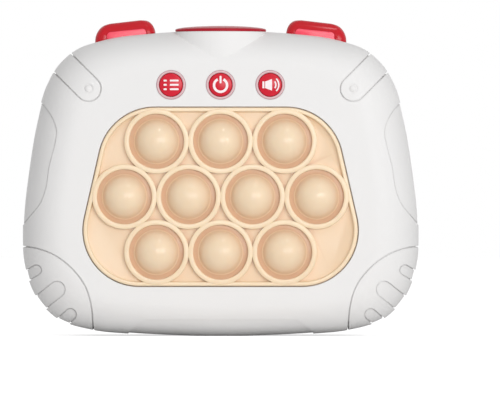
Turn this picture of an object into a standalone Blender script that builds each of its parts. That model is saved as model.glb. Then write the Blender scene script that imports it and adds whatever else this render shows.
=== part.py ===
"""Electronic bubble pop game: a two-part plastic case with a silicone pad of ten push bubbles.

The front faces -Y, +X is to the right of someone who looks at the front and +Z is up. The
origin is under the middle of the case, on the surface that it stands on. Lengths are in metres.
"""

import math

import bmesh
import bpy
from mathutils import Matrix, Vector

MM = 0.001

# Fits and cuts
gap = 0.3 * MM
overrun = 3.0 * MM
clear_overrun = 60.0 * MM

# Case
front_reach = 24.5 * MM
rear_reach = 27.5 * MM
seam_y = 3.0 * MM
wall = 2.0 * MM
front_shoulder = 8.0 * MM
rear_shoulder = 15.5 * MM
side_round = 13.5 * MM
edge_round = 10.0 * MM
round_steps = 5
outline_steps = 2
hollow_steps = 3
lip_reach = 2.0 * MM
lip_root = 3.0 * MM
lip_thick = 0.8 * MM
side_margin = 20.25 * MM
bottom_margin = 15.2 * MM
top_margin = 23.4 * MM
base_trim = 0.9 * MM
grip_depth = 0.6 * MM
band_depth = 0.35 * MM

# Bubble pad
bubble_rows = (3, 4, 3)
bubble_pitch = 19.65 * MM
bubble_steps = 18
ring_steps = 18
dome_radius = 6.8 * MM
dome_rise = 4.3 * MM
dome_wall = 0.9 * MM
dome_edge = 0.4 * MM
bubble_travel = 3.0 * MM
groove_width = 1.3 * MM
ring_overlap = 0.25 * MM
ring_proud = 0.4 * MM
border_proud = 0.2 * MM
border_wide = 1.2 * MM
border_margin = 0.8 * MM
floor_sink = 0.9 * MM
groove_sink = 1.3 * MM
flange_wide = 1.3 * MM
flange_thick = 1.2 * MM
window_flare = 6.2 * MM
window_top_radius = 15.4 * MM
window_bottom_radius = 16.6 * MM
window_corner_steps = 5

# Retainer, plungers and board
retainer_thick = 2.4 * MM
collar_wall = 1.0 * MM
plunger_flange = 1.0 * MM
plunger_flange_thick = 1.4 * MM
plunger_steps = 9
board_half_width = 36.0 * MM
board_bottom = 5.0 * MM
board_top = 84.0 * MM
board_thick = 1.6 * MM
switch_side = 6.0 * MM
switch_tall = 3.5 * MM
chip_side = 12.0 * MM
chip_tall = 1.6 * MM
board_post_radius = 2.3 * MM
board_post_room = 0.4 * MM
board_post_bottom_x = 24.0 * MM
board_post_bottom_drop = 6.2 * MM
board_screw_radius = 0.9 * MM
board_screw_length = 6.0 * MM
board_screw_head = 1.9 * MM
board_screw_head_tall = 1.3 * MM

# Control buttons
button_names = ("menu", "power", "sound")
button_spacing = 15.2 * MM
button_rise = 6.7 * MM
button_radius = 3.6 * MM
button_proud = 0.6 * MM
button_travel = 0.8 * MM
button_flange = 1.0 * MM
button_flange_thick = 1.0 * MM
button_stem_radius = 1.5 * MM
button_edge = 0.4 * MM
bezel_wall = 0.55 * MM
bezel_proud = 0.2 * MM
bezel_flange = 0.65 * MM
bezel_flange_thick = 1.0 * MM
round_piece_steps = 18

# Turret and badge
turret_half_width = 14.0 * MM
turret_half_depth = 13.2 * MM
turret_setback = 0.6 * MM
turret_proud = 0.1 * MM
turret_drop = 16.0 * MM
turret_steps = 28
badge_edge = 0.3 * MM
badge_rise = 0.9 * MM
badge_peg_radius = 2.0 * MM
badge_peg_length = 4.0 * MM

# Shoulder keys
key_inner_x = 20.2 * MM
key_outer_x = 38.8 * MM
key_front = 6.5 * MM
key_back = 9.5 * MM
key_inner_rise = 3.9 * MM
key_slope_drop = 3.6 * MM
key_round = 2.4 * MM
key_round_steps = 4
key_travel = 1.5 * MM
key_flange = 1.0 * MM
key_flange_drop = 8.6 * MM
key_flange_thick = 1.1 * MM
key_stem_radius = 1.5 * MM
key_stem_length = 2.0 * MM
side_switch_depth = 5.0 * MM
side_switch_tall = 3.8 * MM

# Case screws
upper_screw_x = 40.6 * MM
upper_screw_drop = 17.8 * MM
lower_screw_x = 43.5 * MM
lower_screw_rise = 14.5 * MM
screw_radius = 1.2 * MM
screw_head_radius = 2.5 * MM
screw_head_tall = 1.8 * MM
screw_length = 14.0 * MM
front_boss_radius = 3.2 * MM
well_wall = 1.3 * MM
well_floor_y = 9.0 * MM
small_steps = 12

# Batteries
cell_radius = 5.2 * MM
cell_length = 43.3 * MM
nub_radius = 1.9 * MM
nub_length = 1.2 * MM
cell_pitch = 11.4 * MM
cell_count = 3
middle_cell_z = 35.5 * MM
compartment_margin = 1.0 * MM
compartment_wall = 1.5 * MM
contact_thick = 0.5 * MM
contact_half_width = 4.0 * MM
contact_bump_radius = 2.5 * MM
contact_bump = 0.5 * MM
spring_base_radius = 3.4 * MM
spring_tip_radius = 2.2 * MM
spring_length = 3.6 * MM
tail_half_width = 1.2 * MM
tail_reach = 1.4 * MM

# Battery door
door_thick = 1.6 * MM
door_seat = 1.6 * MM
door_tab_half_width = 4.5 * MM
door_tab_length = 5.2 * MM
door_screw_radius = 1.0 * MM
door_screw_head = 1.9 * MM
door_screw_head_tall = 0.8 * MM
door_screw_reach = 2.4 * MM
door_screw_play = 0.8 * MM
door_boss_radius = 3.0 * MM
door_boss_length = 5.0 * MM
hook_x = 15.0 * MM
hook_half_width = 3.5 * MM
hook_thick = 1.0 * MM
hook_reach = 1.8 * MM
hook_root = 2.6 * MM

# Speaker
speaker_radius = 11.5 * MM
speaker_rise = 12.0 * MM
speaker_flange = 1.4 * MM
speaker_depth = 6.5 * MM
magnet_radius = 6.0 * MM
basket_radius = 9.0 * MM
basket_depth = 3.0 * MM
collar_thick = 1.2 * MM
collar_depth = 5.0 * MM
grille_half = 0.7 * MM
grille_pitch = 3.0 * MM
grille_radius = 9.5 * MM
grille_slots = 5

# Leads
lead_radius = 0.6 * MM
lead_points = 12
lead_pad_x = 8.0 * MM
lead_pad_spacing = 4.0 * MM

# Levels along Y, worked out from the front face to the board
face_y = -front_reach
inner_face_y = face_y + wall
floor_y = face_y + floor_sink
groove_y = face_y + groove_sink
ring_y = face_y - ring_proud
border_y = face_y - border_proud
flange_y = inner_face_y + gap
pad_back_y = flange_y + flange_thick
retainer_y = pad_back_y + gap
retainer_back_y = retainer_y + retainer_thick
dome_top_y = groove_y - dome_rise
dome_rim_y = groove_y + dome_edge
dome_sphere = (dome_radius ** 2 + dome_rise ** 2) / (2 * dome_rise)
dome_centre_y = dome_top_y + dome_sphere
counterbore_y = dome_rim_y + bubble_travel + gap
plunger_flange_y = retainer_back_y + gap
plunger_back_y = plunger_flange_y + plunger_flange_thick
board_y = plunger_back_y + bubble_travel + gap + switch_tall
board_back_y = board_y + board_thick
switch_y = board_y - switch_tall
bezel_back_y = flange_y + bezel_flange_thick

# Radii that follow from each other
hole_radius = dome_radius + gap
ring_inner = hole_radius + groove_width
ring_outer = bubble_pitch / 2 + ring_overlap
plunger_radius = dome_radius - dome_wall - gap
plunger_bore = plunger_radius + gap
plunger_flange_radius = plunger_radius + plunger_flange
collar_radius = plunger_flange_radius + gap
retainer_bore = dome_radius / math.cos(math.pi / plunger_steps) + gap
bezel_bore = button_radius + gap
bezel_radius = bezel_bore + bezel_wall
button_hole = bezel_radius + gap
board_post_top_x = button_spacing + bezel_radius + bezel_flange + board_post_radius + board_post_room
lip_out = wall + gap
lip_in = lip_out + lip_thick
screw_hole = screw_radius + gap
well_radius = screw_head_radius + gap

# Window round the pad, and the case round the window
row_pitch = bubble_pitch * math.sin(math.radians(60))
window_half_height = row_pitch + ring_outer + border_margin - ring_overlap
window_z = bottom_margin + window_half_height
window_top = window_z + window_half_height
window_middle_half = (max(bubble_rows) - 1) / 2 * bubble_pitch + ring_outer + border_wide
body_half_width = window_middle_half + side_margin
body_height = window_top + top_margin
body_z = body_height / 2
body_half_height = body_height / 2
button_z = window_top + button_rise
turret_y = face_y + turret_setback + turret_half_depth
turret_top = body_height + turret_proud
key_flange_top = body_height - key_flange_drop + gap
key_flange_bottom = key_flange_top - key_flange_thick
key_stem_end = key_flange_bottom - key_stem_length
key_x = (key_inner_x + key_outer_x) / 2
key_y = (key_back - key_front) / 2
key_half_x = (key_outer_x - key_inner_x) / 2
key_half_y = (key_back + key_front) / 2
upper_screw_z = body_height - upper_screw_drop
rear_inner_y = rear_reach - wall

# Battery compartment: the cells along X, then from the door inwards, then up and down
plus_room = gap + contact_thick + contact_bump + gap
minus_room = gap + spring_length + contact_thick + gap
compartment_half_length = (plus_room + nub_length + cell_length + minus_room) / 2
plus_end = compartment_half_length - plus_room
minus_end = plus_end - nub_length - cell_length
door_inner_y = rear_reach - door_thick
cell_y = door_inner_y - gap - gap - cell_radius
compartment_floor_y = cell_y - cell_radius - gap
door_seat_y = door_inner_y - gap
hook_y = door_seat_y - gap - hook_thick
compartment_half_height = cell_pitch * (cell_count - 1) / 2 + cell_radius + compartment_margin
compartment_bottom = middle_cell_z - compartment_half_height
compartment_top = middle_cell_z + compartment_half_height
door_half_length = compartment_half_length + door_seat
door_top = compartment_top + door_seat
door_bottom = compartment_bottom - door_seat
door_screw_z = door_bottom - door_tab_length / 2
hinge_z = door_top + gap / 2
speaker_z = compartment_top + compartment_wall + collar_thick + speaker_rise

# The case's outline, right half from top to bottom, as shares of its half width and its height
outline_shares = (
    (0.000, 1.000), (0.336, 0.990), (0.607, 0.966), (0.731, 0.937), (0.823, 0.885), (0.879, 0.821),
    (0.926, 0.708), (0.969, 0.550), (1.000, 0.352), (0.989, 0.235), (0.934, 0.136), (0.831, 0.062),
    (0.643, 0.022), (0.467, 0.009), (0.230, -0.006),
)

# Grip recesses at the lower right corner: the round end's x and half width as shares of the case's
# half width, its z as a share of the height, and the direction in which the recess runs off
grip_shares = (
    (0.928, 0.0279, 0.216, math.radians(-30)),
    (0.823, 0.0426, 0.153, math.radians(-38)),
    (0.756, 0.0311, 0.071, math.radians(-41)),
)
grip_steps = 6

# Inner edge of the finger recess on the right side, as shares of the half width and the height
finger_shares = (
    (0.895, 0.760), (0.836, 0.699), (0.825, 0.672), (0.836, 0.623), (0.862, 0.557), (0.882, 0.478),
    (0.913, 0.435), (0.965, 0.407),
)
finger_outer_share = 1.2
band_half_width = 28.4 * MM
band_top = 5.2 * MM
band_corner = 5.0 * MM

# Colour, roughness and metallic value of each material
finishes = {
    "shell_white": ((0.86, 0.85, 0.84), 0.38, 0),
    "silicone": ((0.93, 0.75, 0.55), 0.5, 0),
    "dome_silicone": ((0.90, 0.72, 0.52), 0.4, 0),
    "red_plastic": ((0.66, 0.02, 0.03), 0.25, 0),
    "pale_ring": ((0.62, 0.45, 0.45), 0.35, 0),
    "clear_plastic": ((0.85, 0.87, 0.88), 0.15, 0),
    "grey_plastic": ((0.55, 0.55, 0.56), 0.5, 0),
    "board_green": ((0.03, 0.18, 0.07), 0.45, 0),
    "screw_steel": ((0.6, 0.6, 0.62), 0.3, 1),
    "cell_can": ((0.35, 0.36, 0.38), 0.35, 1),
    "speaker_black": ((0.02, 0.02, 0.02), 0.6, 0),
    "red_wire": ((0.6, 0.02, 0.02), 0.5, 0),
    "black_wire": ((0.015, 0.015, 0.015), 0.5, 0),
}


def clear_scene():
    for old in list(bpy.data.objects):
        bpy.data.objects.remove(old, do_unlink=True)


def finish(name, colour, roughness, metallic):
    made = bpy.data.materials.new(name)
    made.use_nodes = True
    shader = made.node_tree.nodes["Principled BSDF"]
    shader.inputs["Base Color"].default_value = (*colour, 1)
    shader.inputs["Roughness"].default_value = roughness
    shader.inputs["Metallic"].default_value = metallic
    return made


def loft(name, rings, material=None, closed=False, place=(0, 0, 0)):
    """Skin a row of rings, each of as many points, or of one point at a tip, into a closed solid."""
    mesh = bpy.data.meshes.new(name)
    work = bmesh.new()
    loops = [[work.verts.new(point) for point in ring] for ring in rings]
    pairs = list(zip(loops, loops[1:]))
    if closed:
        pairs.append((loops[-1], loops[0]))
    for here, there in pairs:
        count = max(len(here), len(there))
        for i in range(count):
            j = (i + 1) % count
            if len(here) == 1:
                work.faces.new((here[0], there[i], there[j]))
            elif len(there) == 1:
                work.faces.new((here[j], here[i], there[0]))
            else:
                work.faces.new((here[i], there[i], there[j], here[j]))
    if not closed:
        for loop in (loops[0], loops[-1]):
            if len(loop) > 1:
                work.faces.new(loop)
    bmesh.ops.recalc_face_normals(work, faces=work.faces)
    work.to_mesh(mesh)
    work.free()
    mesh.shade_smooth()
    mesh.set_sharp_from_angle(angle=math.radians(35))
    made = bpy.data.objects.new(name, mesh)
    made.location = place
    bpy.context.scene.collection.objects.link(made)
    if material:
        mesh.materials.append(material)
    else:
        made.hide_render = True
        made.display_type = "WIRE"
    return made


def prism(name, outline, near, far, material=None, place=(0, 0, 0)):
    """An outline of (x, z) points pushed through from one y to another."""
    rings = [[(x, y, z) for x, z in outline] for y in (near, far)]
    return loft(name, rings, material, place=place)


def block(name, low, high, material=None, place=(0, 0, 0)):
    corners = ((low[0], low[2]), (high[0], low[2]), (high[0], high[2]), (low[0], high[2]))
    return prism(name, corners, low[1], high[1], material, place)


def circle(radius, steps):
    turns = [2 * math.pi * i / steps for i in range(steps)]
    return [(radius * math.cos(turn), radius * math.sin(turn)) for turn in turns]


def turned(name, profile, steps, material=None, place=(0, 0, 0), axis="y", closed=False):
    """Turn a profile of (radius, height) points about the y, x or z axis through its place."""
    rings = []
    for radius, height in profile:
        ring = circle(radius, steps) if radius else [(0, 0)]
        if axis == "y":
            rings.append([(a, height, b) for a, b in ring])
        elif axis == "x":
            rings.append([(height, a, b) for a, b in ring])
        else:
            rings.append([(a, b, height) for a, b in ring])
    return loft(name, rings, material, closed, place)


def rod(name, radius, near, far, steps, x, z, material=None):
    return turned(name, ((radius, near), (radius, far)), steps, material, (x, 0, z))


def combine(target, tool, operation):
    step = target.modifiers.new(tool.name, "BOOLEAN")
    step.operation = operation
    step.solver = "EXACT"
    step.object = tool
    return target


def cut(target, *tools):
    for tool in tools:
        combine(target, tool, "DIFFERENCE")
    return target


def add(target, *tools):
    for tool in tools:
        combine(target, tool, "UNION")
    return target


def smooth_line(points, steps, closed):
    """Draw a smooth curve through points, with its tangents weighted by the distances between them."""
    count = len(points)
    spans = count if closed else count - 1
    drawn = []
    for i in range(spans):
        start = points[i]
        end = points[(i + 1) % count]
        before = points[i - 1] if closed or i else start * 2 - end
        after = points[(i + 2) % count] if closed or i + 2 < count else end * 2 - start
        step = (end - start).length
        back = (start - before).length
        ahead = (after - end).length
        leave = ((start - before) * step / back + (end - start) * back / step) / (back + step)
        reach = ((end - start) * ahead / step + (after - end) * step / ahead) / (step + ahead)
        for k in range(steps):
            t = k / steps
            drawn.append(
                start * (1 + 2 * t) * (1 - t) ** 2
                + leave * step * t * (1 - t) ** 2
                + end * t * t * (3 - 2 * t)
                - reach * step * t * t * (1 - t)
            )
    if not closed:
        drawn.append(points[-1])
    return drawn


def case_outline(inset):
    """The widest outline of the case, drawn in by an inset square to itself."""
    right = [Vector((x * body_half_width, z * body_height)) for x, z in outline_shares]
    bottom = [Vector((0, -base_trim))]
    left = [Vector((-point.x, point.y)) for point in reversed(right[1:])]
    line = smooth_line(right + bottom + left, outline_steps, True)
    drawn = []
    for i, point in enumerate(line):
        along = (line[(i + 1) % len(line)] - line[i - 1]).normalized()
        drawn.append(point - Vector((-along.y, along.x)) * inset)
    return [(point.x, point.y) for point in drawn]


def case_rings(inset, side):
    """Rings of the case from its shoulder to its flat face; the front side is -1, the rear 1."""
    steps = hollow_steps if inset == wall else round_steps
    shoulder = front_shoulder if side < 0 else rear_shoulder
    reach = front_reach if side < 0 else rear_reach
    outline = case_outline(inset)
    rings = []
    for step in range(steps + 1):
        turn = math.pi / 2 * step / steps
        y = side * (shoulder + (reach - shoulder - inset) * math.sin(turn))
        drawn_in = 1 - math.cos(turn)
        ring = []
        for x, z in outline:
            x_in = x / body_half_width * (side_round - inset) * drawn_in
            z_in = (z - body_z) / body_half_height * (edge_round - inset) * drawn_in
            ring.append((x - x_in, y, z - z_in))
        rings.append(ring)
    return rings


def whole_case(name, inset):
    return loft(name, case_rings(inset, -1)[::-1] + case_rings(inset, 1))


def rim_rings(levels):
    """Upright outlines of the case near its seam, each at a y and with an inset."""
    return [[(x, y, z) for x, z in case_outline(inset)] for y, inset in levels]


def front_case(material):
    rim = rim_rings(((seam_y - gap / 2, 0),))
    return loft("front_shell", rim + case_rings(0, -1), material)


def rear_case(material):
    """The rear half, with a lip that reaches into the front half."""
    edge_y = seam_y + gap / 2
    rim = rim_rings(((seam_y - lip_reach, lip_out), (edge_y, lip_out), (edge_y, 0)))
    return loft("rear_shell", rim + case_rings(0, 1), material)


def rear_hollow():
    """The hollow of the rear half, narrower where it passes the lip."""
    root_y = seam_y + lip_root
    rim = rim_rings(((seam_y - lip_reach - overrun, lip_in), (root_y, lip_in), (root_y, wall)))
    return loft("rear_cavity", rim + case_rings(wall, 1))


def rounded_polygon(corners, radii, steps):
    """A polygon of (x, z) corners with each corner rounded to its own radius."""
    drawn = []
    for i, corner in enumerate(corners):
        here = Vector(corner)
        before = (Vector(corners[i - 1]) - here).normalized()
        after = (Vector(corners[(i + 1) % len(corners)]) - here).normalized()
        half = before.angle(after) / 2
        centre = here + (before + after).normalized() * radii[i] / math.sin(half)
        start = here + before * radii[i] / math.tan(half) - centre
        end = here + after * radii[i] / math.tan(half) - centre
        sweep = start.angle_signed(end)
        for k in range(steps + 1):
            turn = -sweep * k / steps
            across = Vector((-start.y, start.x))
            drawn.append(tuple(centre + start * math.cos(turn) + across * math.sin(turn)))
    return drawn


def window_outline(grow):
    """The pad window, a rounded trapezoid that is wider at its lower edge, grown by a margin."""
    slant = math.hypot(window_flare, window_half_height) / window_half_height
    height = window_half_height + grow
    flare = window_flare * height / window_half_height
    top = window_middle_half - flare + grow * slant
    low = window_middle_half + flare + grow * slant
    corners = (
        (-low, window_z - height), (low, window_z - height),
        (top, window_z + height), (-top, window_z + height),
    )
    radii = [window_bottom_radius + grow] * 2 + [window_top_radius + grow] * 2
    return rounded_polygon(corners, radii, window_corner_steps)


def bubble_places():
    places = []
    for row, count in enumerate(bubble_rows):
        z = window_z + ((len(bubble_rows) - 1) / 2 - row) * row_pitch
        for i in range(count):
            places.append(((i - (count - 1) / 2) * bubble_pitch, z))
    return places


def button_places():
    middle = (len(button_names) - 1) / 2
    return [((i - middle) * button_spacing, button_z) for i in range(len(button_names))]


def case_screw_places():
    rows = ((upper_screw_x, upper_screw_z), (lower_screw_x, lower_screw_rise))
    return [(side * x, z) for x, z in rows for side in (-1, 1)]


def board_post_places():
    top = window_top + flange_wide + gap + board_post_radius + gap
    low = bottom_margin - board_post_bottom_drop
    rows = ((board_post_top_x, top), (board_post_bottom_x, low))
    return [(side * x, z) for x, z in rows for side in (-1, 1)]


def cell_places():
    return [middle_cell_z + ((cell_count - 1) / 2 - i) * cell_pitch for i in range(cell_count)]


def capsule(x, z, half_width, direction, length):
    """A slot outline with one round end at (x, z), running off in a direction."""
    along = Vector((math.cos(direction), math.sin(direction)))
    across = Vector((-along.y, along.x))
    drawn = []
    for k in range(grip_steps + 1):
        turn = math.pi / 2 + math.pi * k / grip_steps
        drawn.append(Vector((x, z)) + (along * math.cos(turn) + across * math.sin(turn)) * half_width)
    drawn.append(drawn[-1] + along * length)
    drawn.append(drawn[0] + along * length)
    return [tuple(point) for point in drawn]


def mirrored(outline):
    return [(-x, z) for x, z in reversed(outline)]


def grip_cutters():
    """Shallow recesses in the outside of the case: prisms that keep clear of a slightly smaller case."""
    core = whole_case("grip_core", grip_depth)
    band_core = whole_case("band_core", band_depth)
    outlines = [
        capsule(x * body_half_width, z * body_height, half * body_half_width, direction, clear_overrun / 2)
        for x, half, z, direction in grip_shares
    ]
    edge = [Vector((x * body_half_width, z * body_height)) for x, z in finger_shares]
    finger = [tuple(point) for point in smooth_line(edge, 2, False)]
    outer = finger_outer_share * body_half_width
    outlines.append(finger + [(outer, finger[-1][1]), (outer, finger[0][1])])
    tools = []
    for i, outline in enumerate(outlines):
        for hand, shape in (("right", outline), ("left", mirrored(outline))):
            tool = prism(f"grip_{hand}_{i}", shape, -clear_overrun, clear_overrun)
            tools.append(cut(tool, core))
    band = rounded_polygon(
        (
            (-band_half_width, -overrun), (band_half_width, -overrun),
            (band_half_width, band_top), (-band_half_width, band_top),
        ),
        (gap, gap, band_corner, band_corner),
        round_steps,
    )
    tools.append(cut(prism("band", band, -clear_overrun, clear_overrun), band_core))
    return tools


def rounded_plan(half_x, half_y, radius):
    """A rounded rectangle in plan, as (x, y) points round its own middle."""
    corners = ((-half_x, -half_y), (half_x, -half_y), (half_x, half_y), (-half_x, half_y))
    return rounded_polygon(corners, (radius,) * len(corners), key_round_steps)


def key_slot(name, side):
    plan = rounded_plan(key_half_x + gap, key_half_y + gap, key_round + gap)
    levels = (key_flange_top, body_height + clear_overrun)
    return loft(name, [[(x + side * key_x, y + key_y, z) for x, y in plan] for z in levels])


def key_rings(side):
    """Flange, straight side and rounded, sloping top of a shoulder key, round its own middle."""
    rings = []
    for z in (key_flange_bottom, key_flange_top):
        plan = rounded_plan(key_half_x + key_flange, key_half_y + key_flange, key_round)
        rings.append([(x, y, z) for x, y in plan])
    rings.append([(x, y, key_flange_top) for x, y in rounded_plan(key_half_x, key_half_y, key_round)])
    middle_top = body_height + key_inner_rise - key_slope_drop / 2
    for step in range(key_round_steps + 1):
        turn = math.pi / 2 * step / key_round_steps
        inset = (key_round - gap) * (1 - math.cos(turn))
        ring = []
        for x, y in rounded_plan(key_half_x - inset, key_half_y - inset, key_round - inset):
            slope = -side * x / key_half_x * key_slope_drop / 2
            ring.append((x, y, middle_top + slope - key_round * (1 - math.sin(turn))))
        rings.append(ring)
    return rings


def upright_oval(name, low, high, inset):
    """The turret's oval plan, drawn in by an inset and pushed from one z to another."""
    plan = circle(1, turret_steps)
    return loft(name, [
        [(a * (turret_half_width - inset), turret_y + b * (turret_half_depth - inset), z) for a, b in plan]
        for z in (low, high)
    ])


def make_front_shell(material):
    """The front half with its turret; what stands inside is kept clear of the hollow's cutter."""
    front = front_case(material)
    hollow = whole_case("front_cavity", wall)
    turret_low = turret_top - turret_drop
    for i, (x, z) in enumerate(case_screw_places()):
        boss_end = seam_y - lip_reach
        cut(hollow, rod(f"front_boss_{i}", front_boss_radius, -clear_overrun, boss_end, small_steps, x, z))
    for i, (x, z) in enumerate(board_post_places()):
        post_end = board_y - gap
        cut(hollow, rod(f"board_post_{i}", board_post_radius, -clear_overrun, post_end, small_steps, x, z))
    add(front, upright_oval("turret", turret_low, turret_top, 0))
    cut(front, hollow, upright_oval("turret_pocket", turret_low + wall, turret_top - wall, wall))

    past_wall = inner_face_y + overrun
    cut(front, prism("window", window_outline(0), -clear_overrun, past_wall))
    for i, (x, z) in enumerate(button_places()):
        cut(front, rod(f"button_hole_{i}", button_hole, -clear_overrun, past_wall, round_piece_steps, x, z))
    for i, (x, z) in enumerate(case_screw_places()):
        pilot_end = well_floor_y - screw_length - gap
        cut(front, rod(f"pilot_{i}", screw_hole, pilot_end, seam_y + overrun, small_steps, x, z))
    for i, (x, z) in enumerate(board_post_places()):
        pilot_end = board_back_y - board_screw_length - gap
        pilot = board_screw_radius + gap
        cut(front, rod(f"board_pilot_{i}", pilot, pilot_end, board_y + overrun, small_steps, x, z))
    peg_hole = badge_peg_radius + gap
    return cut(front, turned("badge_peg_hole", (
        (peg_hole, turret_top - wall - overrun), (peg_hole, turret_top + overrun),
    ), small_steps, place=(0, turret_y, 0), axis="z"))


def rear_hollow_with_posts():
    """The rear half's hollow, less the posts, walls, boss and collar that stand in it."""
    hollow = rear_hollow()
    for i, (x, z) in enumerate(case_screw_places()):
        post_end = seam_y - lip_reach + gap
        post = well_radius + well_wall
        cut(hollow, rod(f"rear_post_{i}", post, post_end, clear_overrun, small_steps, x, z))
    cut(hollow, block(
        "compartment_walls",
        (-door_half_length - compartment_wall, compartment_floor_y - compartment_wall,
         door_bottom - compartment_wall),
        (door_half_length + compartment_wall, clear_overrun, door_top + compartment_wall),
    ))
    boss_end = rear_inner_y - door_boss_length
    cut(hollow, rod("door_boss", door_boss_radius, boss_end, clear_overrun, small_steps, 0, door_screw_z))
    bore = speaker_radius + gap
    collar_end = rear_inner_y - collar_depth
    return cut(hollow, turned("speaker_collar", (
        (bore + collar_thick, collar_end), (bore + collar_thick, clear_overrun),
        (bore, clear_overrun), (bore, collar_end),
    ), round_piece_steps, place=(0, 0, speaker_z), closed=True))


def cut_compartment(rear):
    """The battery compartment, the door's seat, its hook slots and the contacts' tail slots."""
    cut(rear, block(
        "compartment",
        (-compartment_half_length, compartment_floor_y, compartment_bottom),
        (compartment_half_length, clear_overrun, compartment_top),
    ))
    cut(rear, block(
        "door_opening",
        (-door_half_length - gap, door_seat_y, door_bottom - gap),
        (door_half_length + gap, clear_overrun, door_top + gap),
    ))
    cut(rear, block(
        "door_tab_seat",
        (-door_tab_half_width - gap, door_seat_y, door_bottom - door_tab_length - gap),
        (door_tab_half_width + gap, clear_overrun, door_bottom),
    ))
    screw_end = rear_inner_y - door_boss_length + wall
    screw_room = door_screw_radius + door_screw_play
    cut(rear, rod("door_screw_hole", screw_room, screw_end, rear_reach, small_steps, 0, door_screw_z))
    for side in (-1, 1):
        x = side * hook_x
        cut(rear, block(
            f"hook_slot_{side}",
            (x - hook_half_width - gap, hook_y - gap - gap, compartment_top - wall),
            (x + hook_half_width + gap, door_seat_y, door_top + gap + hook_reach + gap),
        ))
    for side, z in ((1, cell_places()[0]), (-1, cell_places()[-1])):
        near = side * (compartment_half_length - gap - contact_thick - gap)
        far = side * compartment_half_length
        cut(rear, block(
            f"tail_slot_{side}",
            (min(near, far), compartment_floor_y - compartment_wall - overrun, z - tail_half_width - gap),
            (max(near, far), compartment_floor_y + overrun, z + tail_half_width + gap),
        ))


def make_rear_shell(material):
    rear = cut(rear_case(material), rear_hollow_with_posts())
    cut_compartment(rear)
    for i, (x, z) in enumerate(case_screw_places()):
        past_floor = well_floor_y + overrun
        cut(rear, rod(f"well_{i}", well_radius, well_floor_y, clear_overrun, small_steps, x, z))
        cut(rear, rod(f"screw_hole_{i}", screw_hole, -clear_overrun, past_floor, small_steps, x, z))
    for i in range(grille_slots):
        z = speaker_z + (i - (grille_slots - 1) / 2) * grille_pitch
        half = math.sqrt(grille_radius ** 2 - (z - speaker_z) ** 2)
        cut(rear, block(
            f"grille_{i}",
            (-half, rear_inner_y - gap, z - grille_half),
            (half, clear_overrun, z + grille_half),
        ))
    return rear


def cut_outside(*shells):
    """What passes over the seam: the key slots, the hand recesses and the small flat foot."""
    recesses = grip_cutters()
    foot = block("foot_flat", (-clear_overrun,) * 3, (clear_overrun, clear_overrun, 0))
    for shell in shells:
        cut(shell, *[key_slot(f"{shell.name}_key_slot_{side}", side) for side in (-1, 1)])
        cut(shell, *recesses, foot)


def make_pad(material):
    pad = prism("bubble_pad", window_outline(-gap), floor_y, pad_back_y, material)
    border = prism("pad_border", window_outline(-gap), border_y, floor_y + gap)
    cut(border, prism("border_inside", window_outline(-gap - border_wide), -clear_overrun, 0))
    flange = prism("pad_flange", window_outline(flange_wide), flange_y, pad_back_y)
    add(pad, flange, border)
    for i, (x, z) in enumerate(bubble_places()):
        add(pad, rod(f"ring_{i}", ring_outer, ring_y, floor_y + gap, ring_steps, x, z))
    for i, (x, z) in enumerate(bubble_places()):
        profile = (
            (ring_inner, -clear_overrun), (ring_inner, groove_y),
            (hole_radius, groove_y), (hole_radius, 0),
        )
        cut(pad, turned(f"bubble_hole_{i}", profile, bubble_steps, place=(x, 0, z)))
    return pad


def dome_profile(sphere, edge_radius, steps):
    """Points of a spherical cap from its tip to its edge, on the sphere that all bubbles share."""
    reach = math.asin(edge_radius / sphere)
    turns = [reach * i / steps for i in range(steps + 1)]
    return [(sphere * math.sin(turn), dome_centre_y - sphere * math.cos(turn)) for turn in turns]


def make_bubbles(silicone, clear):
    inner = dome_sphere - dome_wall
    outside = dome_profile(dome_sphere, dome_radius, 3)
    inside = dome_profile(inner, dome_radius - dome_wall, 2)
    skin = outside + [(dome_radius, dome_rim_y), (dome_radius - dome_wall, dome_rim_y)] + inside[::-1]
    guide = dome_profile(inner - gap, plunger_radius, 2) + [
        (plunger_radius, plunger_flange_y), (plunger_flange_radius, plunger_flange_y),
        (plunger_flange_radius, plunger_back_y),
    ]
    for i, (x, z) in enumerate(bubble_places(), 1):
        turned(f"bubble_{i}", skin, bubble_steps, silicone, (x, 0, z))
        turned(f"plunger_{i}", guide, plunger_steps, clear, (x, 0, z))


def make_retainer(material):
    retainer = prism("pad_retainer", window_outline(flange_wide), retainer_y, retainer_back_y, material)
    for i, (x, z) in enumerate(bubble_places()):
        outer = collar_radius + collar_wall
        add(retainer, rod(f"collar_{i}", outer, retainer_y + gap, board_y - gap, plunger_steps, x, z))
    for i, (x, z) in enumerate(bubble_places()):
        profile = (
            (retainer_bore, retainer_y - overrun), (retainer_bore, counterbore_y),
            (plunger_bore, counterbore_y), (plunger_bore, retainer_back_y),
            (collar_radius, retainer_back_y), (collar_radius, 0),
        )
        cut(retainer, turned(f"collar_bore_{i}", profile, plunger_steps, place=(x, 0, z)))


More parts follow.
